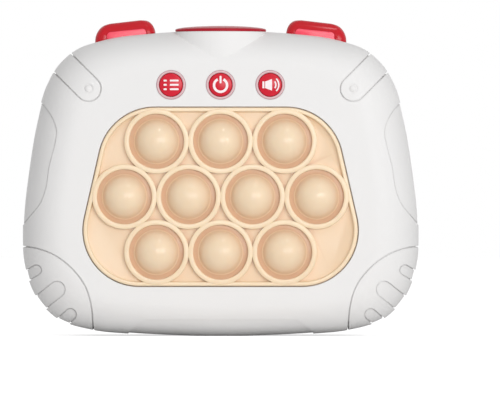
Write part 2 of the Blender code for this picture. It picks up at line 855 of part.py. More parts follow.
def make_board(material):
    board = block(
        "main_board",
        (-board_half_width, board_y, board_bottom),
        (board_half_width, board_back_y, board_top),
        material,
    )
    half = switch_side / 2
    for i, (x, z) in enumerate(bubble_places() + button_places()):
        low, high = (x - half, switch_y, z - half), (x + half, board_y + gap, z + half)
        add(board, block(f"switch_{i}", low, high))
    side_top = key_stem_end - key_travel - gap
    for side in (-1, 1):
        x = side * key_x
        add(board, block(
            f"side_switch_{side}",
            (x - half, board_back_y - gap, side_top - side_switch_tall),
            (x + half, board_back_y + side_switch_depth, side_top),
        ))
    half = chip_side / 2
    add(board, block(
        "chip",
        (-half, board_back_y - gap, window_z - half),
        (half, board_back_y + chip_tall, window_z + half),
    ))
    hole = board_screw_radius + gap
    for i, (x, z) in enumerate(board_post_places()):
        near, far = board_y - overrun, board_back_y + overrun
        cut(board, rod(f"board_hole_{i}", hole, near, far, small_steps, x, z))


def make_screws(steel):
    profile = (
        (screw_head_radius, well_floor_y + gap + screw_head_tall), (screw_head_radius, well_floor_y + gap),
        (screw_radius, well_floor_y + gap), (screw_radius, well_floor_y - screw_length + gap),
    )
    for i, (x, z) in enumerate(case_screw_places(), 1):
        turned(f"case_screw_{i}", profile, small_steps, steel, (x, 0, z))
    head_y = board_back_y + gap
    profile = (
        (board_screw_head, head_y + board_screw_head_tall), (board_screw_head, head_y),
        (board_screw_radius, head_y), (board_screw_radius, head_y - board_screw_length),
    )
    for i, (x, z) in enumerate(board_post_places(), 1):
        turned(f"board_screw_{i}", profile, small_steps, steel, (x, 0, z))


def make_buttons(cap_material, ring_material):
    head_y = face_y - button_proud
    front = bezel_back_y + gap
    back = front + button_flange_thick
    flange = button_radius + button_flange
    button = (
        (0, head_y), (button_radius - button_edge, head_y), (button_radius, head_y + button_edge),
        (button_radius, front), (flange, front), (flange, back), (button_stem_radius, back),
        (button_stem_radius, switch_y - gap - button_travel),
    )
    bezel_face_y = face_y - bezel_proud
    bezel = (
        (bezel_bore, bezel_face_y), (bezel_radius, bezel_face_y), (bezel_radius, flange_y),
        (bezel_radius + bezel_flange, flange_y), (bezel_radius + bezel_flange, bezel_back_y),
        (bezel_bore, bezel_back_y),
    )
    for name, (x, z) in zip(button_names, button_places()):
        turned(f"{name}_button", button, round_piece_steps, cap_material, (x, 0, z))
        turned(f"{name}_bezel", bezel, round_piece_steps, ring_material, (x, 0, z), closed=True)


def make_badge(material):
    base_z = turret_top + gap
    plan = circle(1, turret_steps)
    rings = [[(a * turret_half_width, b * turret_half_depth, base_z) for a, b in plan]]
    for step in range(round_steps):
        turn = math.pi / 2 * step / round_steps
        half_width = turret_half_width * math.cos(turn)
        half_depth = turret_half_depth * math.cos(turn)
        z = base_z + badge_edge + badge_rise * math.sin(turn)
        rings.append([(a * half_width, b * half_depth, z) for a, b in plan])
    rings.append([(0, 0, base_z + badge_edge + badge_rise)])
    badge = loft("top_badge", rings, material, place=(0, turret_y, 0))
    peg = turned("badge_peg", (
        (badge_peg_radius, base_z - badge_peg_length), (badge_peg_radius, base_z + gap),
    ), small_steps, place=(0, turret_y, 0), axis="z")
    add(badge, peg)


def make_shoulder_keys(material):
    for side, hand in ((-1, "left"), (1, "right")):
        key = loft(f"shoulder_key_{hand}", key_rings(side), material, place=(side * key_x, key_y, 0))
        stem_place = (side * key_x, board_back_y + side_switch_depth / 2, 0)
        add(key, turned(f"key_stem_{hand}", (
            (key_stem_radius, key_stem_end), (key_stem_radius, key_flange_bottom + gap),
        ), small_steps, place=stem_place, axis="z"))


def make_speaker(material):
    front = rear_inner_y - gap
    profile = (
        (speaker_radius, front), (speaker_radius, front - speaker_flange),
        (basket_radius, front - speaker_flange), (magnet_radius, front - basket_depth),
        (magnet_radius, front - speaker_depth),
    )
    turned("speaker", profile, round_piece_steps, material, (0, 0, speaker_z))


def contact(name, side, cells, spring_cell, tail_cell, material):
    """A contact strip on an end wall, with a spring for one cell, a raised pad for another, or a tail."""
    outer = side * (compartment_half_length - gap)
    inner = outer - side * contact_thick
    strip = block(
        name,
        (min(outer, inner), cell_y - contact_half_width, min(cells) - contact_half_width),
        (max(outer, inner), cell_y + contact_half_width, max(cells) + contact_half_width),
        material,
    )
    root = (outer + inner) / 2
    for z in cells:
        if z == spring_cell:
            profile = ((spring_base_radius, root), (spring_tip_radius, side * (gap - minus_end)))
        else:
            profile = ((contact_bump_radius, root), (contact_bump_radius, side * (plus_end + gap)))
        add(strip, turned(f"{name}_pad_{z:.3f}", profile, small_steps, place=(0, cell_y, z), axis="x"))
    if tail_cell is not None:
        tail_end = compartment_floor_y - compartment_wall - tail_reach
        add(strip, block(
            f"{name}_tail",
            (min(outer, inner), tail_end, tail_cell - tail_half_width),
            (max(outer, inner), cell_y - contact_half_width + gap, tail_cell + tail_half_width),
        ))


def make_batteries(can, steel):
    top_cell, middle_cell, low_cell = cell_places()
    shoulder = plus_end - nub_length
    for i, z in enumerate((top_cell, middle_cell, low_cell)):
        way = 1 if i % 2 else -1
        profile = (
            (cell_radius, way * minus_end), (cell_radius, way * shoulder),
            (nub_radius, way * shoulder), (nub_radius, way * plus_end),
        )
        turned(f"battery_{i + 1}", profile, round_piece_steps, can, (0, cell_y, z), axis="x")
    contact("contact_single_right", 1, (top_cell,), top_cell, top_cell, steel)
    contact("contact_bridge_right", 1, (middle_cell, low_cell), low_cell, None, steel)
    contact("contact_bridge_left", -1, (top_cell, middle_cell), middle_cell, None, steel)
    contact("contact_single_left", -1, (low_cell,), None, low_cell, steel)


def make_door(material, steel):
    """The battery door with its hooks and tab, and its screw, both with their origin on the hinge."""
    hinge = Vector((0, rear_reach, hinge_z))

    def at_hinge(name, low, high, slot=None):
        return block(name, Vector(low) - hinge, Vector(high) - hinge, slot, hinge)

    door = at_hinge(
        "battery_door",
        (-door_half_length, door_inner_y, door_bottom),
        (door_half_length, rear_reach, door_top),
        material,
    )
    add(door, at_hinge(
        "door_tab",
        (-door_tab_half_width, door_inner_y, door_bottom - door_tab_length),
        (door_tab_half_width, rear_reach, door_bottom + gap),
    ))
    for side in (-1, 1):
        left, right = side * hook_x - hook_half_width, side * hook_x + hook_half_width
        add(door, at_hinge(
            f"hook_{side}",
            (left, hook_y, door_top - hook_root),
            (right, hook_y + hook_thick, door_top + hook_reach),
        ))
        add(door, at_hinge(
            f"hook_foot_{side}",
            (left, hook_y, door_top - hook_root),
            (right, door_inner_y + gap, door_top - gap),
        ))
    head_y = rear_reach - door_screw_head_tall
    for hole, radius, near in (("bore", door_screw_radius, 0), ("sink", door_screw_head, head_y)):
        hole_y = near - gap
        cut(door, rod(f"door_{hole}", radius + gap, hole_y, clear_overrun, small_steps, 0, door_screw_z))
    screw = turned("door_screw", (
        (door_screw_head, rear_reach), (door_screw_head, head_y), (door_screw_radius, head_y),
        (door_screw_radius, door_inner_y - door_screw_reach),
    ), small_steps, steel, (0, 0, door_screw_z))
    screw.data.transform(Matrix.Translation(screw.location - hinge))
    screw.location = hinge


def lead(name, start, end, material):
    """A thin wire on a smooth bow between two solder points."""
    start, end = Vector(start), Vector(end)
    curve = bpy.data.curves.new(name, "CURVE")
    curve.dimensions = "3D"
    curve.bevel_depth = lead_radius
    curve.bevel_resolution = 1
    curve.use_fill_caps = True
    curve.render_resolution_u = 0
    spline = curve.splines.new("POLY")
    spline.points.add(lead_points - 1)
    for i in range(lead_points):
        t = i / (lead_points - 1)
        eased = t * t * (3 - 2 * t)
        point = Vector((
            start.x + (end.x - start.x) * eased,
            start.y + (end.y - start.y) * t,
            start.z + (end.z - start.z) * eased,
        ))
        spline.points[i].co = (*point, 1)
    curve.materials.append(material)
    made = bpy.data.objects.new(name, curve)
    bpy.context.scene.collection.objects.link(made)


def make_leads(red_wire, black_wire):
    top_cell, _, low_cell = cell_places()
    tail_x = compartment_half_length - gap - contact_thick / 2
    tail_y = compartment_floor_y - compartment_wall - tail_reach - gap
    board_end = board_back_y + gap
    low_pad = (-lead_pad_x, board_end, low_cell - lead_pad_spacing)
    lead("battery_lead_red", (-tail_x, tail_y, low_cell), low_pad, red_wire)
    lead("battery_lead_black", (tail_x, tail_y, top_cell), (lead_pad_x, board_end, top_cell), black_wire)
    speaker_back = rear_inner_y - gap - speaker_depth - gap
    for side, name, wire in ((-1, "red", red_wire), (1, "black", black_wire)):
        x = side * lead_pad_spacing
        pad = (x, board_end, speaker_z - lead_pad_spacing)
        lead(f"speaker_lead_{name}", (x, speaker_back, speaker_z), pad, wire)


clear_scene()
slots = {name: finish(name, *values) for name, values in finishes.items()}
cut_outside(make_front_shell(slots["shell_white"]), make_rear_shell(slots["shell_white"]))
make_pad(slots["silicone"])
make_bubbles(slots["dome_silicone"], slots["clear_plastic"])
make_retainer(slots["grey_plastic"])
make_board(slots["board_green"])
make_screws(slots["screw_steel"])
make_buttons(slots["red_plastic"], slots["pale_ring"])
make_badge(slots["red_plastic"])
make_shoulder_keys(slots["red_plastic"])
make_speaker(slots["speaker_black"])
make_batteries(slots["cell_can"], slots["screw_steel"])
make_door(slots["shell_white"], slots["screw_steel"])
make_leads(slots["red_wire"], slots["black_wire"])
bpy.context.view_layer.update()
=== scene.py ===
import math

import bmesh
import bpy
import numpy as np
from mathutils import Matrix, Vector


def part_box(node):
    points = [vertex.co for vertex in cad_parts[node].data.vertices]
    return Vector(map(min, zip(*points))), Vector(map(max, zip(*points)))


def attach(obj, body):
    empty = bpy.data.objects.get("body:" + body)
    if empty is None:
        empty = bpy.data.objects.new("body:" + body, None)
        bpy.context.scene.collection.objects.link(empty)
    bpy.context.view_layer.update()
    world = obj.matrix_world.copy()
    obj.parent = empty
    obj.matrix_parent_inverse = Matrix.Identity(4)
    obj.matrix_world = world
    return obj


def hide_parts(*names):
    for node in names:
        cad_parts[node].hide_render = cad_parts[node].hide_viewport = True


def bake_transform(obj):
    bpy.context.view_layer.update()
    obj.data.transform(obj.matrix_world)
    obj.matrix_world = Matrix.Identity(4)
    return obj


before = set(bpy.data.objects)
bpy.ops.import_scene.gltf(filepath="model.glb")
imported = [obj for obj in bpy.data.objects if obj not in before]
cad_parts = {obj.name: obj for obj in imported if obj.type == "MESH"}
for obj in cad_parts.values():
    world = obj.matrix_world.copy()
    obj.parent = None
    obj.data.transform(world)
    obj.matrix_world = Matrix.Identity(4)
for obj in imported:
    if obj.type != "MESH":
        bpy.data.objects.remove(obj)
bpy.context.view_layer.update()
mm = 0.001


# Front half of the case. White ABS, injection moulded, satin outside. It has a raised oval turret at
# the top, the pad window, three button holes, and moulded recesses and grooves round its corners.
front_low, front_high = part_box("front_shell")
rear_low, rear_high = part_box("rear_shell")
face_y, back_y = front_low.y, rear_high.y
half_width, height = rear_high.x, rear_high.z


def sizes(*lengths):
    """Lengths in millimetres, turned into metres."""
    return [length * mm for length in lengths]


fit, wall, outside, base_trim = sizes(0.3, 2.0, 60.0, 0.5)
seam_y = front_high.y + fit / 2
front_shoulder, rear_shoulder, side_round, edge_round = sizes(8.0, 15.5, 13.5, 10.0)
outline_shares = np.array((
    (0.000, 1.000), (0.336, 0.993), (0.607, 0.968), (0.731, 0.939), (0.823, 0.886), (0.880, 0.821),
    (0.929, 0.708), (0.971, 0.550), (1.000, 0.352), (0.990, 0.233), (0.938, 0.134), (0.834, 0.060),
    (0.645, 0.019), (0.467, 0.007), (0.240, -0.001),
))
finger_shares = np.array((
    (0.930, 0.778), (0.895, 0.757), (0.836, 0.699), (0.825, 0.672), (0.836, 0.623), (0.862, 0.557),
    (0.882, 0.478), (0.910, 0.433), (0.951, 0.400), (1.000, 0.364), (1.040, 0.335),
))
cap_line_shares = np.array((
    (1.040, 0.292), (0.985, 0.293), (0.844, 0.268), (0.738, 0.215), (0.680, 0.162), (0.654, 0.110),
    (0.643, 0.022), (0.642, -0.030),
))
grip_places = np.array(((56.6, 20.3), (50.2, 14.4), (46.1, 6.7))) * mm
grip_half_widths = np.array((1.7, 2.6, 1.9)) * mm
grip_directions = np.radians((-30, -38, -41))
strap_place = np.array((40.6, 76.0)) * mm
strap_radius = 3.9 * mm


def smooth_line(points, steps, closed=True):
    """A smooth curve through points: on each span a cubic, with its end tangents weighted by distance."""
    start, end = points, np.roll(points, -1, 0)
    before, after = np.roll(points, 1, 0), np.roll(points, -2, 0)
    if not closed:
        start, end = points[:-1], points[1:]
        before = np.vstack((2 * points[:1] - points[1:2], points[:-2]))
        after = np.vstack((points[2:], 2 * points[-1:] - points[-2:-1]))
    step = np.linalg.norm(end - start, axis=1)[:, None]
    back = np.linalg.norm(start - before, axis=1)[:, None]
    ahead = np.linalg.norm(after - end, axis=1)[:, None]
    leave = ((start - before) * step / back + (end - start) * back / step) / (back + step) * step
    reach = ((end - start) * ahead / step + (after - end) * step / ahead) / (step + ahead) * step
    t = (np.arange(steps) / steps)[:, None]
    drawn = (
        start[:, None] * (1 + 2 * t) * (1 - t) ** 2 + leave[:, None] * t * (1 - t) ** 2
        + end[:, None] * t * t * (3 - 2 * t) - reach[:, None] * t * t * (1 - t)
    ).reshape(-1, points.shape[1])
    return drawn if closed else np.vstack((drawn, points[-1]))


def offset_line(line, distance, closed=True):
    """A plane line moved square to itself, to its left for a positive distance."""
    along = np.roll(line, -1, 0) - np.roll(line, 1, 0)
    if not closed:
        along[0], along[-1] = line[1] - line[0], line[-1] - line[-2]
    along /= np.linalg.norm(along, axis=1)[:, None]
    return line + np.stack((-along[:, 1], along[:, 0]), 1) * distance


def case_outline(inset, steps=9):
    """The case's widest outline in x and z, drawn in by an inset."""
    right = outline_shares * (half_width, height)
    line = np.vstack((right, (0, -base_trim), right[:0:-1] * (-1, 1)))
    return offset_line(smooth_line(line, steps), -inset)


def case_rings(inset, side, steps=18):
    """Rings from the shoulder to the flat face: a quarter turn in depth, drawn in towards the middle.
    A last small ring at a share of the face's size closes the middle."""
    last_share = 0.02
    shoulder = front_shoulder if side < 0 else rear_shoulder
    reach = -face_y if side < 0 else back_y
    turn = np.linspace(0, math.pi / 2, steps + 1)[:, None]
    x, z = case_outline(inset).T
    drawn_in = 1 - np.cos(turn)
    ring_x = x - x / half_width * (side_round - inset) * drawn_in
    ring_z = z - (z - height / 2) / (height / 2) * (edge_round - inset) * drawn_in
    ring_y = side * (shoulder + (reach - shoulder - inset) * np.sin(turn)) + np.zeros_like(ring_x)
    rings = np.stack((ring_x, ring_y, ring_z), 2)
    middle = np.array((0, rings[-1, 0, 1], height / 2))
    inner = rings[-1] + (middle - rings[-1]) * last_share
    return np.concatenate((rings, inner[None]))


def level_rings(outline, levels):
    """Copies of a plane outline in x and z, each at a y and with a margin of its own."""
    return np.stack([np.insert(outline(margin), 1, y, axis=1) for y, margin in levels])


def solid(name, rings, closed=False, sharp=35):
    """A closed mesh from a grid of points: rings by points round a ring, with a face on each end ring
    or, where closed is set, the last ring joined to the first. Equal points merge, as at a pole."""
    rows, columns = rings.shape[:2]
    ring, after = np.arange(columns), np.roll(np.arange(columns), -1)
    row = np.arange(rows if closed else rows - 1)[:, None] * columns
    ahead = (row + columns) % (rows * columns)
    faces = np.stack((row + ring, row + after, ahead + after, ahead + ring), -1).reshape(-1, 4).tolist()
    if not closed:
        faces += [ring[::-1].tolist(), (ring + (rows - 1) * columns).tolist()]
    mesh = bpy.data.meshes.new(name)
    mesh.from_pydata(rings.reshape(-1, 3).tolist(), [], faces)
    made = bpy.data.objects.new(name, mesh)
    bpy.context.scene.collection.objects.link(made)
    return tidy(made, sharp)


def tidy(piece, sharp, close=0.0005 * mm):
    """Merge doubles, turn the faces outwards, and shade smooth up to an angle in degrees."""
    work = bmesh.new()
    work.from_mesh(piece.data)
    bmesh.ops.remove_doubles(work, verts=work.verts, dist=close)
    bmesh.ops.dissolve_degenerate(work, edges=work.edges, dist=0.0001 * mm)
    bmesh.ops.recalc_face_normals(work, faces=work.faces)
    work.to_mesh(piece.data)
    work.free()
    piece.data.shade_smooth()
    piece.data.set_sharp_from_angle(angle=math.radians(sharp))
    return piece


def joined(name, pieces):
    """Several separate solids as one object."""
    work = bmesh.new()
    for piece in pieces:
        work.from_mesh(piece.data)
        bpy.data.objects.remove(piece)
    mesh = bpy.data.meshes.new(name)
    work.to_mesh(mesh)
    work.free()
    made = bpy.data.objects.new(name, mesh)
    bpy.context.scene.collection.objects.link(made)
    return made


def combine(piece, tools, operation="DIFFERENCE"):
    """Apply solids to a piece one after the other, and delete them."""
    for tool in tools:
        step = piece.modifiers.new(tool.name, "BOOLEAN")
        step.operation, step.solver, step.object = operation, "EXACT", tool
    seen = piece.evaluated_get(bpy.context.evaluated_depsgraph_get())
    old, mesh = piece.data, bpy.data.meshes.new_from_object(seen)
    piece.modifiers.clear()
    piece.data = mesh
    bpy.data.meshes.remove(old)
    for tool in tools:
        bpy.data.objects.remove(tool)
    return piece


clean_gap = 0.003 * mm


def carve(piece, tools):
    """Cut a piece with one tool after the other, and clean it after each, so that no sliver grows."""
    for tool in tools:
        tidy(combine(piece, [tool]), 32, clean_gap)
    return piece


def prism(name, outline, near=-outside, far=outside):
    """A plane outline in x and z pushed through from one y to another."""
    x, z = np.array(outline).T
    return solid(name, np.stack([np.stack((x, np.full_like(x, y), z), 1) for y in (near, far)]))


def turned(name, profile, steps, place=(0, 0, 0), axis="y", closed=False, sharp=35):
    """A profile of radius and height turned round the x, y or z axis through its place."""
    radius, level = np.array(profile, float).T
    turn = np.arange(steps) * 2 * math.pi / steps
    across, up = radius[:, None] * np.cos(turn), radius[:, None] * np.sin(turn)
    along = level[:, None] + np.zeros_like(across)
    order = {"x": (along, across, up), "y": (across, along, up), "z": (across, up, along)}[axis]
    return solid(name, np.stack(order, 2) + np.array(place), closed, sharp)


def block(name, low, high):
    """A box between two corners."""
    corners = np.array(((low[0], low[2]), (high[0], low[2]), (high[0], high[2]), (low[0], high[2])))
    return prism(name, corners, low[1], high[1])


def arc(centre, radius, start, end, steps):
    """Points on an arc about a centre, between two angles in radians."""
    turn = np.linspace(start, end, steps + 1)
    return np.array(centre) + radius * np.stack((np.cos(turn), np.sin(turn)), 1)


def slot_outline(place, radius, direction, length, steps=24):
    """A slot with one round end at a place, running off in a direction."""
    end = arc(place, radius, direction + math.pi / 2, direction + 3 * math.pi / 2, steps)
    run = np.array((math.cos(direction), math.sin(direction))) * length
    return np.vstack((end[:1] + run, end, end[-1:] + run))


def stroke(line, half):
    """A band of even width along an open plane line."""
    return np.vstack((offset_line(line, half, False), offset_line(line, -half, False)[::-1]))


def rounded(corners, radii, steps=12):
    """A polygon with each corner turned into an arc that touches both its sides."""
    corners, radii = np.array(corners, float), np.broadcast_to(radii, len(corners)).astype(float)
    before = np.roll(corners, 1, 0) - corners
    after = np.roll(corners, -1, 0) - corners
    before /= np.linalg.norm(before, axis=1)[:, None]
    after /= np.linalg.norm(after, axis=1)[:, None]
    half = np.arccos(np.clip((before * after).sum(1), -1, 1)) / 2
    middle = (before + after) / np.linalg.norm(before + after, axis=1)[:, None]
    centre = corners + middle * (radii / np.sin(half))[:, None]
    start = corners + before * (radii / np.tan(half))[:, None] - centre
    end = corners + after * (radii / np.tan(half))[:, None] - centre
    share = np.linspace(0, 1, steps + 1)[None, :, None]
    sweep = (math.pi - 2 * half)[:, None, None]
    turned_by = start[:, None] * np.sin((1 - share) * sweep) + end[:, None] * np.sin(share * sweep)
    return (centre[:, None] + turned_by / np.sin(sweep)).reshape(-1, 2)


def quarter(size, reach=0, level=0, out=1, way=1, steps=4):
    """A rounded edge, from a face to a side: points (reach + out * sideways, level + way * inwards), where
    sideways is size * (1 - cos turn) and inwards is size * (1 - sin turn), for a quarter turn down to 0."""
    turn = np.linspace(math.pi / 2, 0, steps + 1)
    sideways, inwards = size - size * np.cos(turn), size - size * np.sin(turn)
    return np.stack((reach + out * sideways, level + way * inwards), 1)


def flared_hole(name, outline, lip, near, far):
    """A cutter for a hole with a rounded edge: wide outside, then a quarter round down to its own size."""
    way = math.copysign(1, far - near)
    levels = quarter(lip, 0, near, 1, way)[:, ::-1]
    return solid(name, level_rings(outline, [(-way * outside, lip), *levels, (far, 0)]))


def rod(name, radius, near, far, x, z, steps=48):
    """A round bar along y."""
    return turned(name, ((radius, near), (radius, far)), steps, (x, 0, z))


def rods(name, radius, near, far, places):
    """A round bar along y at each place."""
    return [rod(f"{name}_{i}", radius, near, far, place.x, place.z) for i, place in enumerate(places)]


def middles(*nodes):
    """The middles of several CAD nodes."""
    return [(low + high) / 2 for low, high in map(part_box, nodes)]


def both_hands(name, outlines):
    """Plane outlines and their mirror images, pushed through the whole case as one cutter."""
    hands = [np.array(outline) * (side, 1) for outline in outlines for side in (1, -1)]
    return joined(name, [prism(f"{name}_{i}", hand) for i, hand in enumerate(hands)])


def case_core(depth):
    """The whole case, smaller all round by a depth. What it is taken from reaches only that deep."""
    return solid("core", np.concatenate((case_rings(depth, -1)[::-1], case_rings(depth, 1))))


def outside_cutters():
    """Recesses for the fingers and grips, the band at the foot, and the lines of straps and corner caps."""
    extent = (half_width, height)
    overrun = 10 * mm
    edge = smooth_line(finger_shares * extent, 10, False)
    finger = np.vstack((edge, (outside + overrun, edge[-1, 1]), (outside + overrun, edge[0, 1])))
    grips = list(zip(grip_places, grip_half_widths, grip_directions))
    band_half_width, band_top, band_corner, band_foot, band_below = sizes(28.6, 5.2, 5.3, 1.2, 4)
    right = np.array((
        (band_half_width, -band_below), (band_half_width, band_foot),
        (band_half_width - band_corner, band_top),
    ))
    rounds = np.array((0.1, 0.8, 1.5)) * mm
    band = rounded(np.vstack((right, right[::-1] * (-1, 1))), np.concatenate((rounds, rounds[::-1])))
    cap_line = smooth_line(cap_line_shares * extent, 12, False)
    strap_line = slot_outline(strap_place, strap_radius, math.pi / 4, outside / 2, 40)
    line_half, line_lip_half, finger_line_half, grip_line_half = sizes(0.2, 0.33, 0.1, 0.16)
    band_depth, grip_line_inset, grip_line_more = sizes(0.35, 0.1, 1)
    cutters = [
        block("foot", (-outside * 2, -outside * 2, -outside), (outside * 2, outside * 2, 0)),
        combine(prism("band", band), [case_core(band_depth)]),
    ]
    for name, depth, outlines in (
        ("finger", 0.3 * mm, [finger]),
        ("grip", 0.4 * mm, [slot_outline(*grip, outside / 2) for grip in grips]),
        ("line", 0.9 * mm, [stroke(line, line_half) for line in (cap_line, strap_line)]),
        ("line_lip", 0.1 * mm, [stroke(line, line_lip_half) for line in (cap_line, strap_line)]),
        ("finger_line", 0.55 * mm, [stroke(edge, finger_line_half)]),
        ("grip_line", 0.8 * mm, [
            stroke(slot_outline(place, half - grip_line_inset, direction, outside / 2 + grip_line_more),
                   grip_line_half)
            for place, half, direction in grips
        ]),
    ):
        cutters.append(combine(both_hands(name, outlines), [case_core(depth)]))
    return cutters


def copied(pieces):
    """Copies of cutters, so that both halves of the case can be cut alike."""
    made = []
    for piece in pieces:
        copy = piece.copy()
        copy.data = piece.data.copy()
        bpy.context.scene.collection.objects.link(copy)
        made.append(copy)
    return made


def ringed(plan, levels):
    """Rings of a plane outline in x and y, each at a z and drawn in by a margin of its own."""
    return np.stack([np.insert(plan(margin), 2, z, axis=1) for z, margin in levels])


badge_low, badge_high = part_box("top_badge")
turret_middle = np.array((0, (badge_low.y + badge_high.y) / 2))
turret_half = np.array((badge_high.x, (badge_high.y - badge_low.y) / 2))
turret_drop, turret_reach, turret_taper = sizes(0.3, 16.0, 0.75)
turret_top = front_high.z - turret_drop
turret_low = turret_top - turret_reach


def turret_plan(margin, steps=120):
    """The turret's plan: an oval in x and y, drawn in by a margin."""
    turn = np.arange(steps) * 2 * math.pi / steps
    return turret_middle + np.stack((np.cos(turn), np.sin(turn)), 1) * (turret_half - margin)


key_places = middles("shoulder_key_left", "shoulder_key_right")
key_low, key_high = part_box("shoulder_key_right")
key_flange, key_round, key_flange_drop = sizes(1.0, 2.4, 8.3)
key_half = np.array((key_high.x - key_low.x, key_high.y - key_low.y)) / 2 - key_flange
key_flange_top = height - key_flange_drop


def key_plan(place, margin, steps=10):
    """A shoulder key's plan, a rectangle with round corners, grown by a margin."""
    half = key_half + margin
    corners = np.array(((-1, -1), (1, -1), (1, 1), (-1, 1))) * half + (place.x, place.y)
    return rounded(corners, key_round + margin, steps)


def key_slots():
    """Cutters for the two slots in the case's top edge, from the keys' flanges upwards."""
    return [
        solid(f"key_slot_{i}", ringed(lambda margin: key_plan(place, fit + margin), (
            (key_flange_top, 0), (height + outside, 0),
        )))
        for i, place in enumerate(key_places)
    ]


pad_low, pad_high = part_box("bubble_pad")
pad_flange, window_middle_half, window_flare = sizes(1.3, 40.5, 6.3)
window_low, window_high = pad_low.z + pad_flange, pad_high.z - pad_flange
window_radii = np.array((17.4, 17.4, 17.6, 17.6)) * mm


def window_outline(grow, steps=24):
    """The pad's window: a trapezoid, wider below, with round corners, grown by a margin."""
    middle, half = (window_low + window_high) / 2, (window_high - window_low) / 2
    side = math.hypot(window_flare, half) / half * grow
    flare = window_flare * (half + grow) / half
    low, top = window_middle_half + flare + side, window_middle_half - flare + side
    z_low, z_top = middle - half - grow, middle + half + grow
    return rounded(((-low, z_low), (low, z_low), (top, z_top), (-top, z_top)), window_radii + grow, steps)


def set_inputs(node, **values):
    """A node's inputs, named with an underscore for a space: each a constant or another node's output."""
    for name, value in values.items():
        socket = node.inputs[name.replace("_", " ")]
        if isinstance(value, bpy.types.NodeSocket):
            node.id_data.links.new(value, socket)
        else:
            socket.default_value = value


def moulded(name, colour, shade, roughness, grain=0.00002, clouds=30, speckle=5000, sheen=0.5):
    """A moulded material: colour that drifts slightly to a shade, uneven gloss and a fine grain."""
    made = bpy.data.materials.new(name)
    made.use_nodes = True
    nodes = made.node_tree.nodes
    place = nodes.new("ShaderNodeTexCoord").outputs["Object"]
    drift, gloss, pores = (nodes.new("ShaderNodeTexNoise") for _ in range(3))
    for noise, scale, detail in ((drift, clouds, 3), (gloss, clouds * 9, 4), (pores, speckle, 2)):
        set_inputs(noise, Scale=scale, Detail=detail, Vector=place)
    tint = nodes.new("ShaderNodeMix")
    tint.data_type = "RGBA"
    set_inputs(tint, A=(*colour, 1), B=(*shade, 1), Factor=drift.outputs["Fac"])
    spread, bump = nodes.new("ShaderNodeMapRange"), nodes.new("ShaderNodeBump")
    set_inputs(spread, From_Min=0.3, From_Max=0.7, Value=gloss.outputs["Fac"])
    set_inputs(spread, To_Min=roughness * 0.88, To_Max=roughness * 1.12)
    set_inputs(bump, Strength=0.35, Distance=grain, Height=pores.outputs["Fac"])
    set_inputs(
        nodes["Principled BSDF"], Base_Color=tint.outputs["Result"], Roughness=spread.outputs["Result"],
        Specular_IOR_Level=sheen, Normal=bump.outputs["Normal"],
    )
    return made


def place_piece(piece, material, body, replaced=(), weighted=False):
    """Give a finished piece its material, body and slot, and hide the CAD nodes that it stands for."""
    piece.data.materials.clear()
    piece.data.materials.append(material)
    if weighted:
        step = piece.modifiers.new("even_normals", "WEIGHTED_NORMAL")
        step.keep_sharp = True
    if body:
        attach(piece, body)
    if replaced:
        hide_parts(*replaced)
    return piece


def tone(red, green, blue):
    """A colour as it looks on screen, 0 to 255, in the renderer's linear light."""
    share = np.array((red, green, blue)) / 255
    return tuple(np.where(share < 0.04045, share / 12.92, ((share + 0.055) / 1.055) ** 2.4).tolist())


shell_white = moulded("shell_white", (0.86, 0.853, 0.848), (0.835, 0.827, 0.822), 0.45, sheen=0.12)
bezel_low, bezel_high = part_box("power_bezel")
bezel_flange, head_and_board = sizes(0.65, 3.2)
bezel_radius = (bezel_high.x - bezel_low.x) / 2 - bezel_flange
button_middles = middles("menu_button", "power_button", "sound_button")
case_screws = middles(*(f"case_screw_{i}" for i in range(1, 5)))
board_screws = middles(*(f"board_screw_{i}" for i in range(1, 5)))
board_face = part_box("board_screw_1")[1].y - head_and_board
recesses = outside_cutters()
lip, hole_play, hole_lip = sizes(0.25, 0.06, 0.1)
boss_radius, pilot_radius, pilot_depth = sizes(3.2, 1.5, 5.3)
post_radius, post_pilot_radius, post_pilot_depth, peg_hole_radius = sizes(2.3, 1.2, 4.7, 2.3)
rim = quarter(lip, 0, seam_y - fit / 2, 1, -1)[:, ::-1]
front = solid("front_case", np.concatenate((level_rings(case_outline, rim), case_rings(0, -1))))
combine(front, [solid("turret", ringed(turret_plan, [
    (turret_low, -turret_taper), *quarter(lip, 0, turret_top, 1, -1)[::-1, ::-1],
]))], "UNION")
hollow = combine(case_core(wall), rods("boss", boss_radius, -outside, rear_low.y, case_screws)
                 + rods("post", post_radius, -outside, board_face - fit, board_screws))
pocket = solid("turret_pocket", ringed(turret_plan, ((turret_low + wall, wall), (turret_top - wall, wall))))
combine(front, [
    hollow, pocket, *rods("pilot", pilot_radius, -pilot_depth, outside, case_screws),
    *rods("board_pilot", post_pilot_radius, board_face - post_pilot_depth, outside, board_screws),
    turned("peg_hole", (
        (peg_hole_radius, turret_top - 3 * wall), (peg_hole_radius, outside * 2),
    ), 48, (0, turret_middle[1], 0), axis="z"),
])
holes = [flared_hole("window", window_outline, lip, face_y, face_y + 2 * wall)]
for i, middle in enumerate(button_middles):
    def hole_outline(grow, middle=middle):
        """A button's hole, grown by a margin."""
        return arc((middle.x, middle.z), bezel_radius + hole_play + grow, 0, 2 * math.pi, 72)[:-1]

    holes.append(flared_hole(f"button_hole_{i}", hole_outline, hole_lip, face_y, face_y + 2 * wall))
carve(front, holes + key_slots() + copied(recesses))
groove_inner, groove_outer, groove_depth = sizes(1.0, 1.55, 0.35)
stud_radius, stud_sunk, stud_dome, stud_root = sizes(0.95, 0.05, 0.4, 0.8)
stud_round = np.linspace(0, math.pi / 2, 7)
